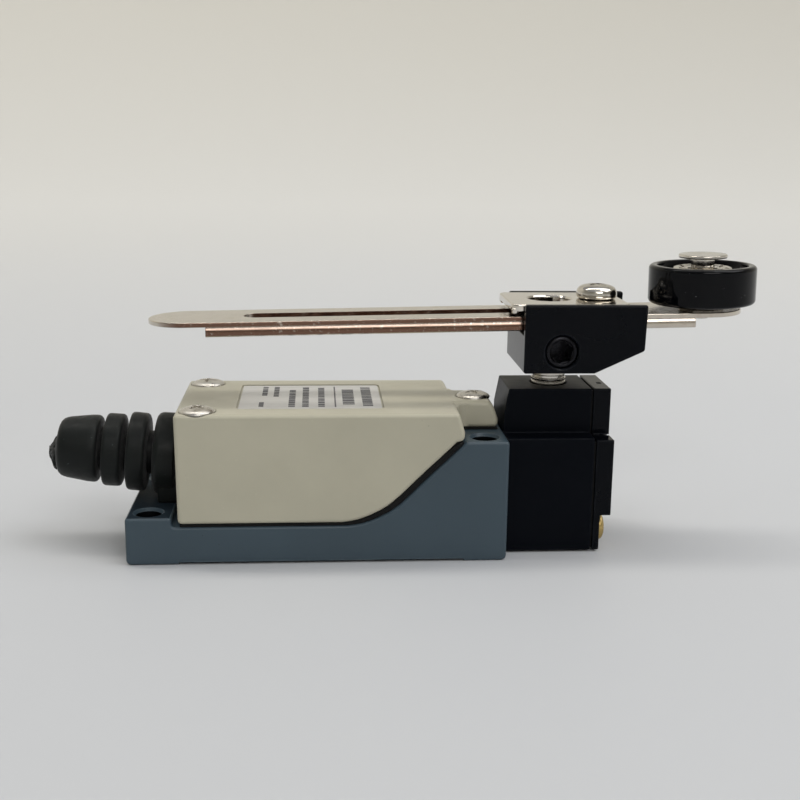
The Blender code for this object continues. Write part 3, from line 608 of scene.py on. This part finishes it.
def cover():
    gap = 0.55
    low = lifted(seat_curve()[:-1], -1.0, gap)
    outline = (
        [(COVER_LEFT, SEAT_Z + gap), *low, (-3.72, 20.85), (-3.7, 22.2), (-4.65, COVER_TOP),
         (COVER_LOW.x, COVER_TOP), (COVER_LEFT - 0.1, 16.0)]
    )
    shell = prism("cover_shell", outline, "Y", -COVER_HALF, COVER_HALF)
    freeze(soften(shell, 0.7, 5, 50))
    neck = prism(
        "neck",
        [(-7.5, 20.95), (COVER_HIGH.x, 20.95), (3.0, 22.4), (2.3, 24.4), (1.7, COVER_TOP),
         (-7.5, COVER_TOP)],
        "Y", -NECK_HALF, NECK_HALF,
    )
    freeze(soften(neck, 0.8, 5, 40))
    fuse(shell, neck)
    for side in (-1, 1):
        fillet = prism(
            "neck_fillet",
            [(-5.4, side * (NECK_HALF - 1.0))]
            + arc((-2.0, side * (NECK_HALF + 2.1)), 2.15, 270 if side > 0 else 90, 180, 8)
            + [(-5.4, side * (NECK_HALF + 2.4))],
            "Z", 21.2, COVER_TOP - 0.35,
        )
        fuse(shell, fillet)
    freeze(shell)
    cut(shell, block("cavity", (CAVITY_LEFT, -11.9, 0), (-6.4, 11.9, COVER_ROOF)),
        block("cable_bay", (BAY_LEFT, -BAY_HALF, 0), (BAY_RIGHT, BAY_HALF, COVER_ROOF)),
        cylinder("cable_hole", 5.2, 6, (-53, 0, 15.4), "+X"))
    recess = prism(
        "recess", rounded_rectangle((-41.3, -9.4), (-16.8, 9.4), 1.0), "Z", COVER_TOP - 0.3, 30
    )
    cut(shell, recess)
    for x, y in SCREW_SPOTS:
        seat = turned(
            "screw_seat",
            [(0, 0), (SCREW_HOLE, 0), (SCREW_HOLE, COVER_TOP - 1.5), (3.02, COVER_TOP - 0.25),
             (3.15, COVER_TOP - 0.05), (3.3, COVER_TOP + 0.05), (3.3, 30), (0, 30)],
            (x, y, 0),
        )
        cut(shell, seat)
    finish_piece(shell, BEIGE, "enclosure", ["cover"], 30)


def rounded_rectangle(low, high, radius, steps=6):
    (x0, y0), (x1, y1) = low, high
    return (
        arc((x1 - radius, y0 + radius), radius, -90, 0, steps)
        + arc((x1 - radius, y1 - radius), radius, 0, 90, steps)
        + arc((x0 + radius, y1 - radius), radius, 90, 180, steps)
        + arc((x0 + radius, y0 + radius), radius, 180, 270, steps)
    )


def label_marks():
    """Plain printed marks: rows of dashes, a rule and a bar, with no lettering."""
    z = box_mm("rating_label")[1].z
    bm = bmesh.new()
    ink = 0.03

    def bar(x0, y0, x1, y1):
        bmesh.ops.create_cube(bm, size=1.0, matrix=(
            Matrix.Translation(((x0 + x1) / 2, (y0 + y1) / 2, z + ink / 2))
            @ Matrix.Diagonal((abs(x1 - x0), abs(y1 - y0), ink, 1))
        ))

    rng = random.Random(8)
    rows = ((-19.4, 1.7, -7.2, 7.2), (-22.6, 2.0, -6.0, 5.6), (-27.2, 1.1, -7.6, 7.0),
            (-29.9, 1.1, -7.6, 7.4), (-32.2, 1.1, -7.6, 5.2), (-35.0, 0.9, 0.2, 7.8),
            (-37.0, 0.9, 1.0, 7.8))
    for x, height, start, end in rows:
        y = start
        while y < end:
            length = rng.uniform(0.45, 1.25)
            bar(x - height / 2, y, x + height / 2, min(y + length, end))
            y += length + rng.uniform(0.25, 0.5)
    bar(-25.0, -7.8, -24.75, 7.8)
    bar(-37.7, -7.4, -36.9, -4.2)
    marks = to_object("label_marks", bm)
    finish_piece(marks, INK, "enclosure", [])


def boot_profile():
    """(radius, distance) down the outside of the boot, with every rim rounded."""
    outer = [(0, 0), (6.6, 0.0), (7.0, 0.15), (7.15, 0.5), (7.15, 2.8), (7.08, 3.2), (6.9, 3.55),
             (6.55, 3.82), (6.0, 3.93), (4.2, 3.98), (3.8, 4.1), (3.8, 5.05)]
    for start, radius in ((4.8, 6.8), (8.9, 6.3)):
        outer += [(radius - 0.95, start + 0.38), (radius - 0.5, start + 0.45),
                  (radius - 0.2, start + 0.58), (radius - 0.05, start + 0.8),
                  (radius, start + 1.15), (radius, start + 2.9),
                  (radius - 0.05, start + 3.25), (radius - 0.2, start + 3.45),
                  (radius - 0.45, start + 3.52), (radius - 1.6, start + 3.5),
                  (3.9, start + 3.45), (3.8, start + 3.55), (3.8, start + 4.2)]
    nose = [(3.8, 13.25), (5.1, 13.3), (5.45, 13.38), (5.7, 13.6), (5.82, 13.9), (5.85, 14.3),
            (5.8, 15.2), (5.28, 18.6), (5.15, 19.15), (4.95, 19.6), (4.6, 19.95), (4.15, 20.15),
            (3.6, 20.25), (3.25, 20.35), (3.05, 20.6), (2.8, 20.95), (2.3, 21.2), (1.7, 21.45),
            (1.2, 21.8), (0.6, 22.0), (0, 22.02)]
    return outer + nose


def boot_skin(boot):
    """Leaves the wall a little uneven, and the blind tip torn where it was cut from its mould."""
    for vert in boot.data.vertices:
        reach = -vert.co.x
        radial = Vector((0, vert.co.y, vert.co.z))
        if radial.length < 0.01:
            continue
        torn = min(1.0, max(0.0, (reach - 20.3) / 0.5))
        ragged = noise.noise(vert.co * 2.3) * 1.1 + noise.noise(vert.co * 0.8) * 0.8
        wobble = noise.noise(vert.co * 0.22) * 0.1 - 0.04
        vert.co += radial.normalized() * (wobble + 0.35 * torn * ragged)
        vert.co.x += torn * 0.3 * abs(ragged)
        vert.co.z -= 1.0 * min(1.0, max(0.0, (reach - 20.3) / 0.3))


def cable_boot():
    boot = turned("boot", boot_profile(), (0, 0, 0), "-X", 128)
    boot_skin(boot)
    place(boot, BOOT_TILT, BOOT_AT)
    foot = block("boot_foot", (-55.1, -5.3, LEDGE_TOP + 0.04), (-51.35, 5.3, 14.5))
    freeze(soften(foot, 0.35, 4))
    collar = cylinder("boot_collar", 5.05, 3.9, (-52.4, 0, 15.4), "+X")
    fuse(boot, foot, collar, solver="MANIFOLD")
    finish_piece(boot, BOOT, "enclosure", ["cable_boot"], 60)


# ---------------------------------------------------------------- fasteners


def cross_recess(arm, width, depth, at, aim):
    w = width / 2
    outline = [
        (arm, -w), (arm, w), (w * 1.4, w * 1.4), (w, arm), (-w, arm), (-w * 1.4, w * 1.4),
        (-arm, w), (-arm, -w), (-w * 1.4, -w * 1.4), (-w, -arm), (w, -arm), (w * 1.4, -w * 1.4),
    ]
    bm = bmesh.new()
    top = bm.faces.new([bm.verts.new((a, b, 0.4)) for a, b in outline])
    out = bmesh.ops.extrude_face_region(bm, geom=[top])
    low = [g for g in out["geom"] if isinstance(g, bmesh.types.BMVert)]
    bmesh.ops.translate(bm, vec=(0, 0, -depth - 0.4), verts=low)
    bmesh.ops.scale(bm, vec=(0.4, 0.4, 1), verts=low)
    bmesh.ops.rotate(bm, cent=(0, 0, 0), matrix=AIM[aim], verts=bm.verts)
    bmesh.ops.translate(bm, vec=at, verts=bm.verts)
    return to_object("recess", bm)


def radius_of(profile):
    return max(point[0] for point in profile)


def cross_screw(node, material, body, aim, head, shank, turn=0.0):
    """A cross-recessed screw drawn from its own CAD node's place."""
    low, high = box_mm(node)
    centre = (low + high) / 2
    crown = head[-1][1]
    if aim == "+Z":
        at = Vector((centre.x, centre.y, high.z - crown))
    else:
        at = Vector((high.x - crown, centre.y, centre.z))
    radius, length = shank
    profile = [(0, -length), (radius * 0.75, -length), (radius, -length + 0.4), (radius, 0)]
    screw = turned(node + "_body", profile + head, (0, 0, 0), "+Z", 72)
    arm = radius_of(head) * 0.62
    recess = cross_recess(arm, arm * 0.36, 1.7, (0, 0, crown), "+Z")
    freeze(cut(screw, recess))
    spin = Matrix.Rotation(math.radians(turn), 4, "Z")
    screw.data.transform(Matrix.Translation(at) @ AIM[aim].to_4x4() @ spin)
    screw.name = node + "_screw"
    finish_piece(screw, material, body, [node], 35)


def pan_head(radius, height):
    points = [(1.0, 0.0), (1.0, 0.05), (1.0, 0.42), (0.985, 0.55), (0.94, 0.68), (0.86, 0.79),
              (0.74, 0.88), (0.58, 0.95), (0.4, 0.985), (0.2, 1.0), (0.0, 1.0)]
    return [(radius * 0.93, -0.001)] + [(radius * r, height * h) for r, h in points]


def cheese_dome(radius, height):
    """A pan head that is widest at a third of its height and curls in below."""
    points = [(0.86, 0.0), (0.93, 0.04), (0.98, 0.14), (1.0, 0.3), (0.99, 0.45), (0.955, 0.6),
              (0.89, 0.73), (0.8, 0.83), (0.68, 0.9), (0.52, 0.95), (0.35, 0.98), (0.18, 1.0),
              (0.0, 1.0)]
    return [(radius * 0.6, -0.001)] + [(radius * r, height * h) for r, h in points]


def oval_head(radius, sink, rise):
    points = [(0.97, 0.06), (1.0, 0.14), (0.985, 0.28), (0.93, 0.45), (0.82, 0.63), (0.66, 0.79),
              (0.46, 0.92), (0.24, 0.98), (0.0, 1.0)]
    return [(radius * 0.99, sink)] + [(radius * r, sink + rise * h) for r, h in points]


def fasteners():
    for number, length in ((1, 21.5), (2, 21.5), (3, 7.5)):
        cross_screw(f"cover_screw_{number}", WORN_SCREW, "enclosure", "+Z",
                    oval_head(2.93, 1.25, 0.98), (1.45, length), 17 + 31 * number)
    for number in range(1, 5):
        cross_screw(f"cap_screw_{number}", BRASS, "enclosure", "+X",
                    pan_head(2.4, 1.45), (1.45, 21.4), 25 * number)
    cross_screw("clamp_screw", SCREW, "shaft", "+Z", cheese_dome(3.5, 2.45), (1.9, 8.5), 38)


# ---------------------------------------------------------------- head


def head_outline(shoulder, inset=0.0):
    half = HEAD_HIGH.y - inset
    boss = BOSS_HALF - inset
    low = HEAD_LOW.z + inset
    top = BOSS_TOP - inset
    level = shoulder - inset
    return [(-half, low), (half, low), (half, level), (boss, level), (boss, top),
            (-boss, top), (-boss, level), (-half, level)]


def head_body():
    body = prism("head_shell", head_outline(HEAD_SHOULDER), "X", HEAD_LOW.x, HEAD_HIGH.x)
    slope = prism(
        "slope",
        [(HEAD_LOW.x - 2, 23.4), (HEAD_LOW.x, 23.4), (4.6, BOSS_TOP), (4.85, 30),
         (HEAD_LOW.x - 2, 30)],
        "Y", -20, 20,
    )
    freeze(cut(body, slope))
    freeze(soften(body, 0.2, 4, 30))
    cut(body, block("cavity", (6.9, -5.6, 5.2), (30, 5.6, 15.4)),
        cylinder("bearing", SHAFT_BORE, 20, (AXIS_X, 0, 12)),
        turned("bearing_flare", [(0, 27.3), (SHAFT_BORE, 27.3), (3.5, 28.2), (0, 28.2)],
               (AXIS_X, 0, 0)),
        solver="MANIFOLD")
    finish_piece(body, HEAD_BLACK, "enclosure", ["head_body"], 30)


def head_cap():
    cap = prism("cap_shell", head_outline(CAP_SHOULDER), "X", CAP_LOW.x, CAP_HIGH.x)
    freeze(cut(cap, block("step", (CAP_THIN, -20, -5), (30, 20, CAP_STEP_Z))))
    freeze(soften(cap, 0.2, 4, 30))
    cut(cap, prism("mark", rounded_rectangle((20.6, -1.8), (21.5, -0.7), 0.3), "Z",
                   BOSS_TOP - 0.5, 30))
    for side in (-1, 1):
        y = side * CAP_SCREW_Y
        cut(cap, cylinder("low_hole", SCREW_HOLE, 9, (15, y, CAP_SCREW_LOW), "+X"),
            cylinder("high_hole", SCREW_HOLE, 9, (15, y, CAP_SCREW_HIGH), "+X"),
            cylinder("counterbore", 2.7, 9, (CAP_THIN + 0.1, y, CAP_SCREW_HIGH), "+X"))
    finish_piece(cap, BLACK, "enclosure", ["head_cap"], 30)


def shaft():
    profile = [
        (0, 2.4), (2.0, 2.7), (2.0, 5.3), (2.9, 5.3), (2.9, 15.3), (SHAFT_RADIUS, 15.35),
        (SHAFT_RADIUS, 28.2), (2.96, 28.3), (2.86, 28.34), (2.86, 28.5), (2.96, 28.54),
        (SHAFT_RADIUS, 28.62), (SHAFT_RADIUS, 28.9), (2.9, 29.0), (2.8, 29.05), (2.8, 29.45),
        (2.9, 29.5), (SHAFT_RADIUS, 29.6), (SHAFT_RADIUS, 37.1), (2.7, 37.4), (0, 37.4),
    ]
    piece = turned("shaft_turned", profile, (AXIS_X, 0, 0), "+Z", 96)
    finish_piece(piece, SCREW, "shaft", ["operating_shaft"], 35)


# ---------------------------------------------------------------- lever


def lever_bracket():
    outline = [
        (BRACKET_LOW.x, 31.16), (18.4, 31.16), (26.78, 34.97), (BRACKET_HIGH.x, BRACKET_HIGH.z),
        (BRACKET_LOW.x, BRACKET_HIGH.z),
    ]
    piece = prism("bracket_casting", outline, "Y", BRACKET_LOW.y, BRACKET_HIGH.y)
    freeze(cut(piece, block("slot", (0, -7.7, 37.6), (40, 7.7, 60))))
    freeze(soften(piece, 0.38, 4, 25))
    cut(piece, cylinder("bore", SHAFT_BORE, 20, (AXIS_X, 0, 25)),
        cylinder("clamp_thread", 2.02, 20, (CLAMP_X, 0, 33.6)),
        turned("set_thread", [(0, 2), (2.78, 2), (2.78, 8.9), (3.05, 9.2), (3.05, 12), (0, 12)],
               (AXIS_X + 0.4, 0, 34.8), "-Y"))
    finish_piece(piece, BLACK, "shaft", ["lever_bracket"], 30)


def set_screw():
    centre = middle_mm("set_screw")
    profile = [(0, 3.12), (2.3, 3.12), (2.7, 3.5), (2.7, 8.55), (2.62, 8.8), (2.4, 8.95),
               (2.25, 9.0), (0, 9.0)]
    piece = turned("set_screw_body", profile, (centre.x, 0, centre.z), "-Y", 72)
    hexagon = [
        (centre.x + 1.98 * math.cos(math.tau * i / 6 + 0.3),
         centre.z + 1.98 * math.sin(math.tau * i / 6 + 0.3))
        for i in range(6)
    ]
    cut(piece, prism("socket", hexagon, "Y", -20, -4.2),
        turned("socket_flare", [(0, 8.7), (1.85, 8.7), (2.15, 9.05), (0, 9.05)],
               (centre.x, 0, centre.z), "-Y"))
    finish_piece(piece, DARK_STEEL, "shaft", ["set_screw"], 35)


def clamp_plate():
    low = 41.35
    piece = prism(
        "plate_sheet",
        rounded_rectangle((PLATE_LOW.x, PLATE_LOW.y), (PLATE_HIGH.x, PLATE_HIGH.y), 1.4, 10),
        "Z", low, PLATE_HIGH.z,
    )
    freeze(soften(piece, 0.28, 4, 50))
    for side in (-1, 1):
        y0, y1 = sorted((side * 5.4, side * 7.35))
        tab = block("tab", (4.45, y0, PLATE_LOW.z), (5.45, y1, 42.0))
        freeze(soften(tab, 0.3, 4))
        fuse(piece, tab)
    cut(piece,
        turned("sight_hole", [(0, 38), (3.7, 38), (3.7, 42.35), (3.95, PLATE_HIGH.z + 0.02),
                              (3.95, 45), (0, 45)], (12.0, 0, 0)),
        cylinder("screw_hole", 2.15, 9, (CLAMP_X, 0, 38)))
    finish_piece(piece, PLATE, "shaft", ["clamp_plate"], 32)


def lever_place(obj):
    return place(obj, LEVER_TILT, (AXIS_X, 0, LEVER_TOP_Z))


def stadium(left, right, radius, steps=24):
    return (
        arc((right - radius, 0), radius, -90, 90, steps)
        + arc((left + radius, 0), radius, 90, 270, steps)
    )


def lever_arm():
    depth = FLANGE_DEPTH
    bend = 1.9
    inner = LEVER_HALF - SHEET
    fold = bend - SHEET
    lip = 0.18
    section = (
        [(LEVER_HALF - lip, -depth), (LEVER_HALF, -depth + lip)]
        + arc((LEVER_HALF - bend, -bend), bend, 0, 90, 14)
        + arc((bend - LEVER_HALF, -bend), bend, 90, 180, 14)
        + [(-LEVER_HALF, -depth + lip), (-LEVER_HALF + lip, -depth), (-inner - lip, -depth),
           (-inner, -depth + lip)]
        + arc((bend - LEVER_HALF, -bend), fold, 180, 90, 8)
        + arc((LEVER_HALF - bend, -bend), fold, 90, 0, 8)
        + [(inner, -depth + lip), (inner + lip, -depth)]
    )
    arm = prism("lever_channel", section, "X", -58.6, 23.45)
    flat = prism("lever_flat", stadium(-68.6, ROLLER_ARM + LEVER_HALF, LEVER_HALF - 0.02), "Z",
                 -SHEET + 0.01, -0.01)
    freeze(soften(flat, 0.16, 3, 50))
    fuse(arm, flat)
    slot = prism("slot", stadium(-52.65, 10.45, 2.3, 16), "Z", -5, 5)
    cut(arm, slot, cylinder("pin_hole", 1.35, 10, (ROLLER_ARM, 0, -5)))
    freeze(arm)
    lever_place(arm)
    finish_piece(arm, LEVER, "lever", ["lever_arm"], 30)


def roller_group():
    at = (ROLLER_ARM, 0, 0)
    rim = (
        [(3.42, 0.95), (6.9, 0.95), (7.2, 0.83), (7.5, 0.8)]
        + arc((8.35, 1.55), 0.75, -90, 0, 6)
        + arc((8.4, 6.7), 0.7, 0, 90, 8)
        + arc((7.95, 7.1), 0.3, 90, 180, 5)
        + [(7.62, 6.8), (7.5, 6.3)]
        + arc((7.1, 6.25), 0.35, 0, -90, 4)
        + [(3.42, 5.9)]
    )
    wheel = turned("roller_wheel_rim", rim, at, "+Z", 160)
    lever_place(wheel)
    finish_piece(wheel, ROLLER, "roller_wheel", ["roller"], 50)
    bushing = turned(
        "roller_bush",
        [(2.08, 0.82), (3.36, 0.82), (3.36, 5.96), (4.9, 5.96), (5.0, 6.1), (5.0, 6.65),
         (4.93, 6.85), (4.75, 6.98), (4.5, 7.03), (4.2, 7.05), (3.95, 7.0), (3.75, 6.85),
         (3.5, 6.75), (3.1, 6.75), (2.9, 6.82), (2.75, 6.98), (2.6, 7.05), (2.08, 7.05)],
        at, "+Z", 96,
    )
    for index in range(6):
        turn = math.tau * (index + 0.3) / 6
        spot = (ROLLER_ARM + 4.1 * math.cos(turn), 4.1 * math.sin(turn), 6.6)
        cut(bushing, cylinder("bush_hole", 0.62, 3, spot, "+Z", 20))
    freeze(bushing)
    lever_place(bushing)
    finish_piece(bushing, SCREW, "roller_wheel", ["roller_bushing"], 35)
    pin = turned(
        "roller_rivet",
        [(0, -2.0), (0.8, -1.98), (1.3, -1.88), (1.6, -1.68), (1.76, -1.4), (1.8, -0.95),
         (1.75, -0.89), (1.3, -0.88), (1.3, 0.02), (2.0, 0.04), (2.0, 8.5), (2.1, 8.57),
         (3.9, 8.58), (4.06, 8.63), (4.13, 8.75), (4.13, 9.0), (4.07, 9.12), (3.95, 9.18),
         (3.4, 9.19), (0, 9.19)],
        at, "+Z", 96,
    )
    lever_place(pin)
    finish_piece(pin, SCREW, "lever", ["roller_pin"], 35)
    spacer = turned(
        "roller_washer",
        [(2.06, 0.04), (3.8, 0.04), (3.9, 0.12), (3.9, 0.66), (3.8, 0.74), (2.06, 0.74)],
        at, "+Z", 64,
    )
    lever_place(spacer)
    finish_piece(spacer, PLATE, "lever", ["roller_spacer"], 35)


# ---------------------------------------------------------------- plunger spring


def plunger_spring():
    """A wound spring coil drawn in the place of the plunger spring node."""
    low, high = box_mm("plunger_spring")
    centre = (low + high) / 2
    wire = 0.3
    radius = (high.z - low.z) / 2 - wire
    span = high.x - low.x - 2 * wire
    turns, steps, sides = 5, 36, 12
    bm = bmesh.new()
    rings = []
    for i in range(turns * steps + 1):
        turn = math.tau * i / steps
        out = Vector((0, math.cos(turn), math.sin(turn)))
        middle = Vector((low.x + wire + span * i / (turns * steps), centre.y, centre.z))
        rings.append([
            bm.verts.new(
                middle + out * (radius + wire * math.cos(math.tau * k / sides))
                + Vector((wire * math.sin(math.tau * k / sides), 0, 0))
            )
            for k in range(sides)
        ])
    for first, second in zip(rings, rings[1:]):
        for k in range(sides):
            n = (k + 1) % sides
            bm.faces.new((first[k], first[n], second[n], second[k]))
    bm.faces.new(rings[0])
    bm.faces.new(rings[-1][::-1])
    spring = to_object("spring_coil", bm)
    finish_piece(spring, SCREW, "enclosure", ["plunger_spring"], 40)
    spring.modifiers.clear()
    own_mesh(spring)


# ---------------------------------------------------------------- carried-over nodes

SLOT_MATERIALS = {
    "blue_grey_paint": BLUE_GREY, "beige_paint": BEIGE, "black_seal": SEAL, "boot_rubber": BOOT,
    "black_paint": BLACK, "nickel": SCREW, "brass": BRASS, "dark_steel": DARK_STEEL,
    "label_foil": FOIL, "roller_plastic": ROLLER, "phenolic": PHENOLIC, "copper": COPPER,
    "white_plastic": WHITE,
}


def restyle_nodes():
    for entry in frame["record"]["subparts"]:
        node = frame["nodes"][entry["node"]]
        for index in range(len(node.material_slots)):
            node.material_slots[index].material = SLOT_MATERIALS[entry["material_slot"]]


# ---------------------------------------------------------------- studio

CAMERA_AT = (-0.028015, -0.200616, 0.070972)
CAMERA_YAW = 0.07198
CAMERA_PITCH = 0.22594
CAMERA_ROLL = 0.01169
CAMERA_LENS = 53.38


def camera():
    forward = Vector((
        math.sin(CAMERA_YAW) * math.cos(CAMERA_PITCH),
        math.cos(CAMERA_YAW) * math.cos(CAMERA_PITCH),
        -math.sin(CAMERA_PITCH),
    ))
    level = forward.cross(Vector((0, 0, 1))).normalized()
    upright = level.cross(forward)
    right = level * math.cos(CAMERA_ROLL) + upright * math.sin(CAMERA_ROLL)
    up = right.cross(forward)
    data = bpy.data.cameras.new("camera")
    data.lens = CAMERA_LENS
    data.sensor_width = 36.0
    data.clip_start = 0.005
    data.clip_end = 20.0
    obj = bpy.data.objects.new("camera", data)
    bpy.context.scene.collection.objects.link(obj)
    rotation = Matrix((right, up, -forward)).transposed().to_4x4()
    obj.matrix_world = Matrix.Translation(CAMERA_AT) @ rotation
    bpy.context.scene.camera = obj


def paper(name, colour):
    g = Graph(name)
    reach = g.add("ShaderNodeVectorMath", operation="LENGTH")
    g.link(g.stretched((1.0, 1.0, 0.0)), reach.inputs[0])
    # Painted light: lighter where the floor curves up, darker and warmer high on the backdrop,
    # standing in for the fall-off of the light
    rise = g.ramp(g.calc("MULTIPLY", reach.outputs["Value"], 0.7),
                  [(0.1, colour), (0.5, srgb(213, 213, 211)), (0.88, srgb(199, 197, 190))])
    tone = g.mix(g.ramp(g.noise(6.0, 4.0, 0.5), [(0.3, 0.0), (0.7, 0.03)]), rise, shade(colour, 1.1))
    g.set(Base_Color=tone, Roughness=0.55, Normal=g.bump(g.noise(500.0, 3.0, 0.5), 0.05, 0.0001))
    g.shader.inputs["Specular IOR Level"].default_value = 0.3
    return g.material


def sweep():
    """A pale paper bowl: a floor that curves up into a backdrop all round the object."""
    flat = 0.55
    curve = 1.1
    profile = [(0.0, 0.0), (0.2, 0.0), (flat, 0.0)]
    profile += [
        (flat + curve * math.sin(t), curve * (1 - math.cos(t)))
        for t in (math.pi / 2 * i / 24 for i in range(1, 25))
    ]
    profile.append((flat + curve, 1.5))
    bm = bmesh.new()
    verts = [bm.verts.new((r, 0, z)) for r, z in profile]
    edges = [bm.edges.new(pair) for pair in zip(verts, verts[1:])]
    bmesh.ops.spin(bm, geom=verts + edges, cent=(0, 0, 0), axis=(0, 0, 1),
                   angle=math.tau, steps=96, use_merge=True)
    bmesh.ops.remove_doubles(bm, verts=bm.verts, dist=0.00001)
    bmesh.ops.recalc_face_normals(bm, faces=bm.faces)
    mesh = bpy.data.meshes.new("paper_sweep")
    bm.to_mesh(mesh)
    bm.free()
    mesh.shade_smooth()
    mesh.materials.append(paper("paper", srgb(200, 202, 205)))
    obj = bpy.data.objects.new("paper_sweep", mesh)
    bpy.context.scene.collection.objects.link(obj)


def area_light(name, at, aim, size, power, colour):
    data = bpy.data.lights.new(name, "AREA")
    data.shape = "RECTANGLE"
    data.size, data.size_y = size
    data.energy = power
    data.color = colour
    obj = bpy.data.objects.new(name, data)
    bpy.context.scene.collection.objects.link(obj)
    obj.location = at
    obj.rotation_euler = (Vector(aim) - Vector(at)).to_track_quat("-Z", "Y").to_euler()


def room():
    """Soft ambient light, brightest overhead."""
    world = bpy.data.worlds.new("studio")
    bpy.context.scene.world = world
    world.use_nodes = True
    tree = world.node_tree
    background = tree.nodes["Background"]
    coords = tree.nodes.new("ShaderNodeTexCoord")
    parts = tree.nodes.new("ShaderNodeSeparateXYZ")
    tree.links.new(coords.outputs["Generated"], parts.inputs[0])
    ramp = tree.nodes.new("ShaderNodeValToRGB")
    stops = [(0.0, (0.3, 0.29, 0.28, 1)), (0.4, (0.5, 0.5, 0.5, 1)), (1.0, (0.85, 0.87, 0.9, 1))]
    elements = ramp.color_ramp.elements
    while len(elements) < len(stops):
        elements.new(0.5)
    for element, (position, colour) in zip(elements, stops):
        element.position = position
        element.color = colour
    tree.links.new(parts.outputs["Z"], ramp.inputs["Fac"])
    tree.links.new(ramp.outputs["Color"], background.inputs["Color"])
    background.inputs["Strength"].default_value = 0.5


def lights():
    area_light("key", (0.62, -0.1, 1.0), (0.0, 0.0, 0.0), (0.8, 0.8), 5.6, (0.99, 0.99, 1.0))
    area_light("front", (0.12, -1.0, 0.75), (0.0, 0.0, 0.0), (0.7, 0.4), 3.6, (1.0, 0.99, 0.98))
    area_light("wash", (-0.35, 0.3, 1.5), (-0.2, 1.6, 0.5), (1.6, 0.5), 15.5, (1.0, 0.965, 0.9))


base_housing()
cover()
cable_boot()
label_marks()
fasteners()
head_body()
head_cap()
shaft()
lever_bracket()
set_screw()
clamp_plate()
lever_arm()
roller_group()
plunger_spring()
sweep_scratch()
restyle_nodes()
sweep()
room()
lights()
camera()
bpy.context.scene.view_settings.view_transform = "Standard"
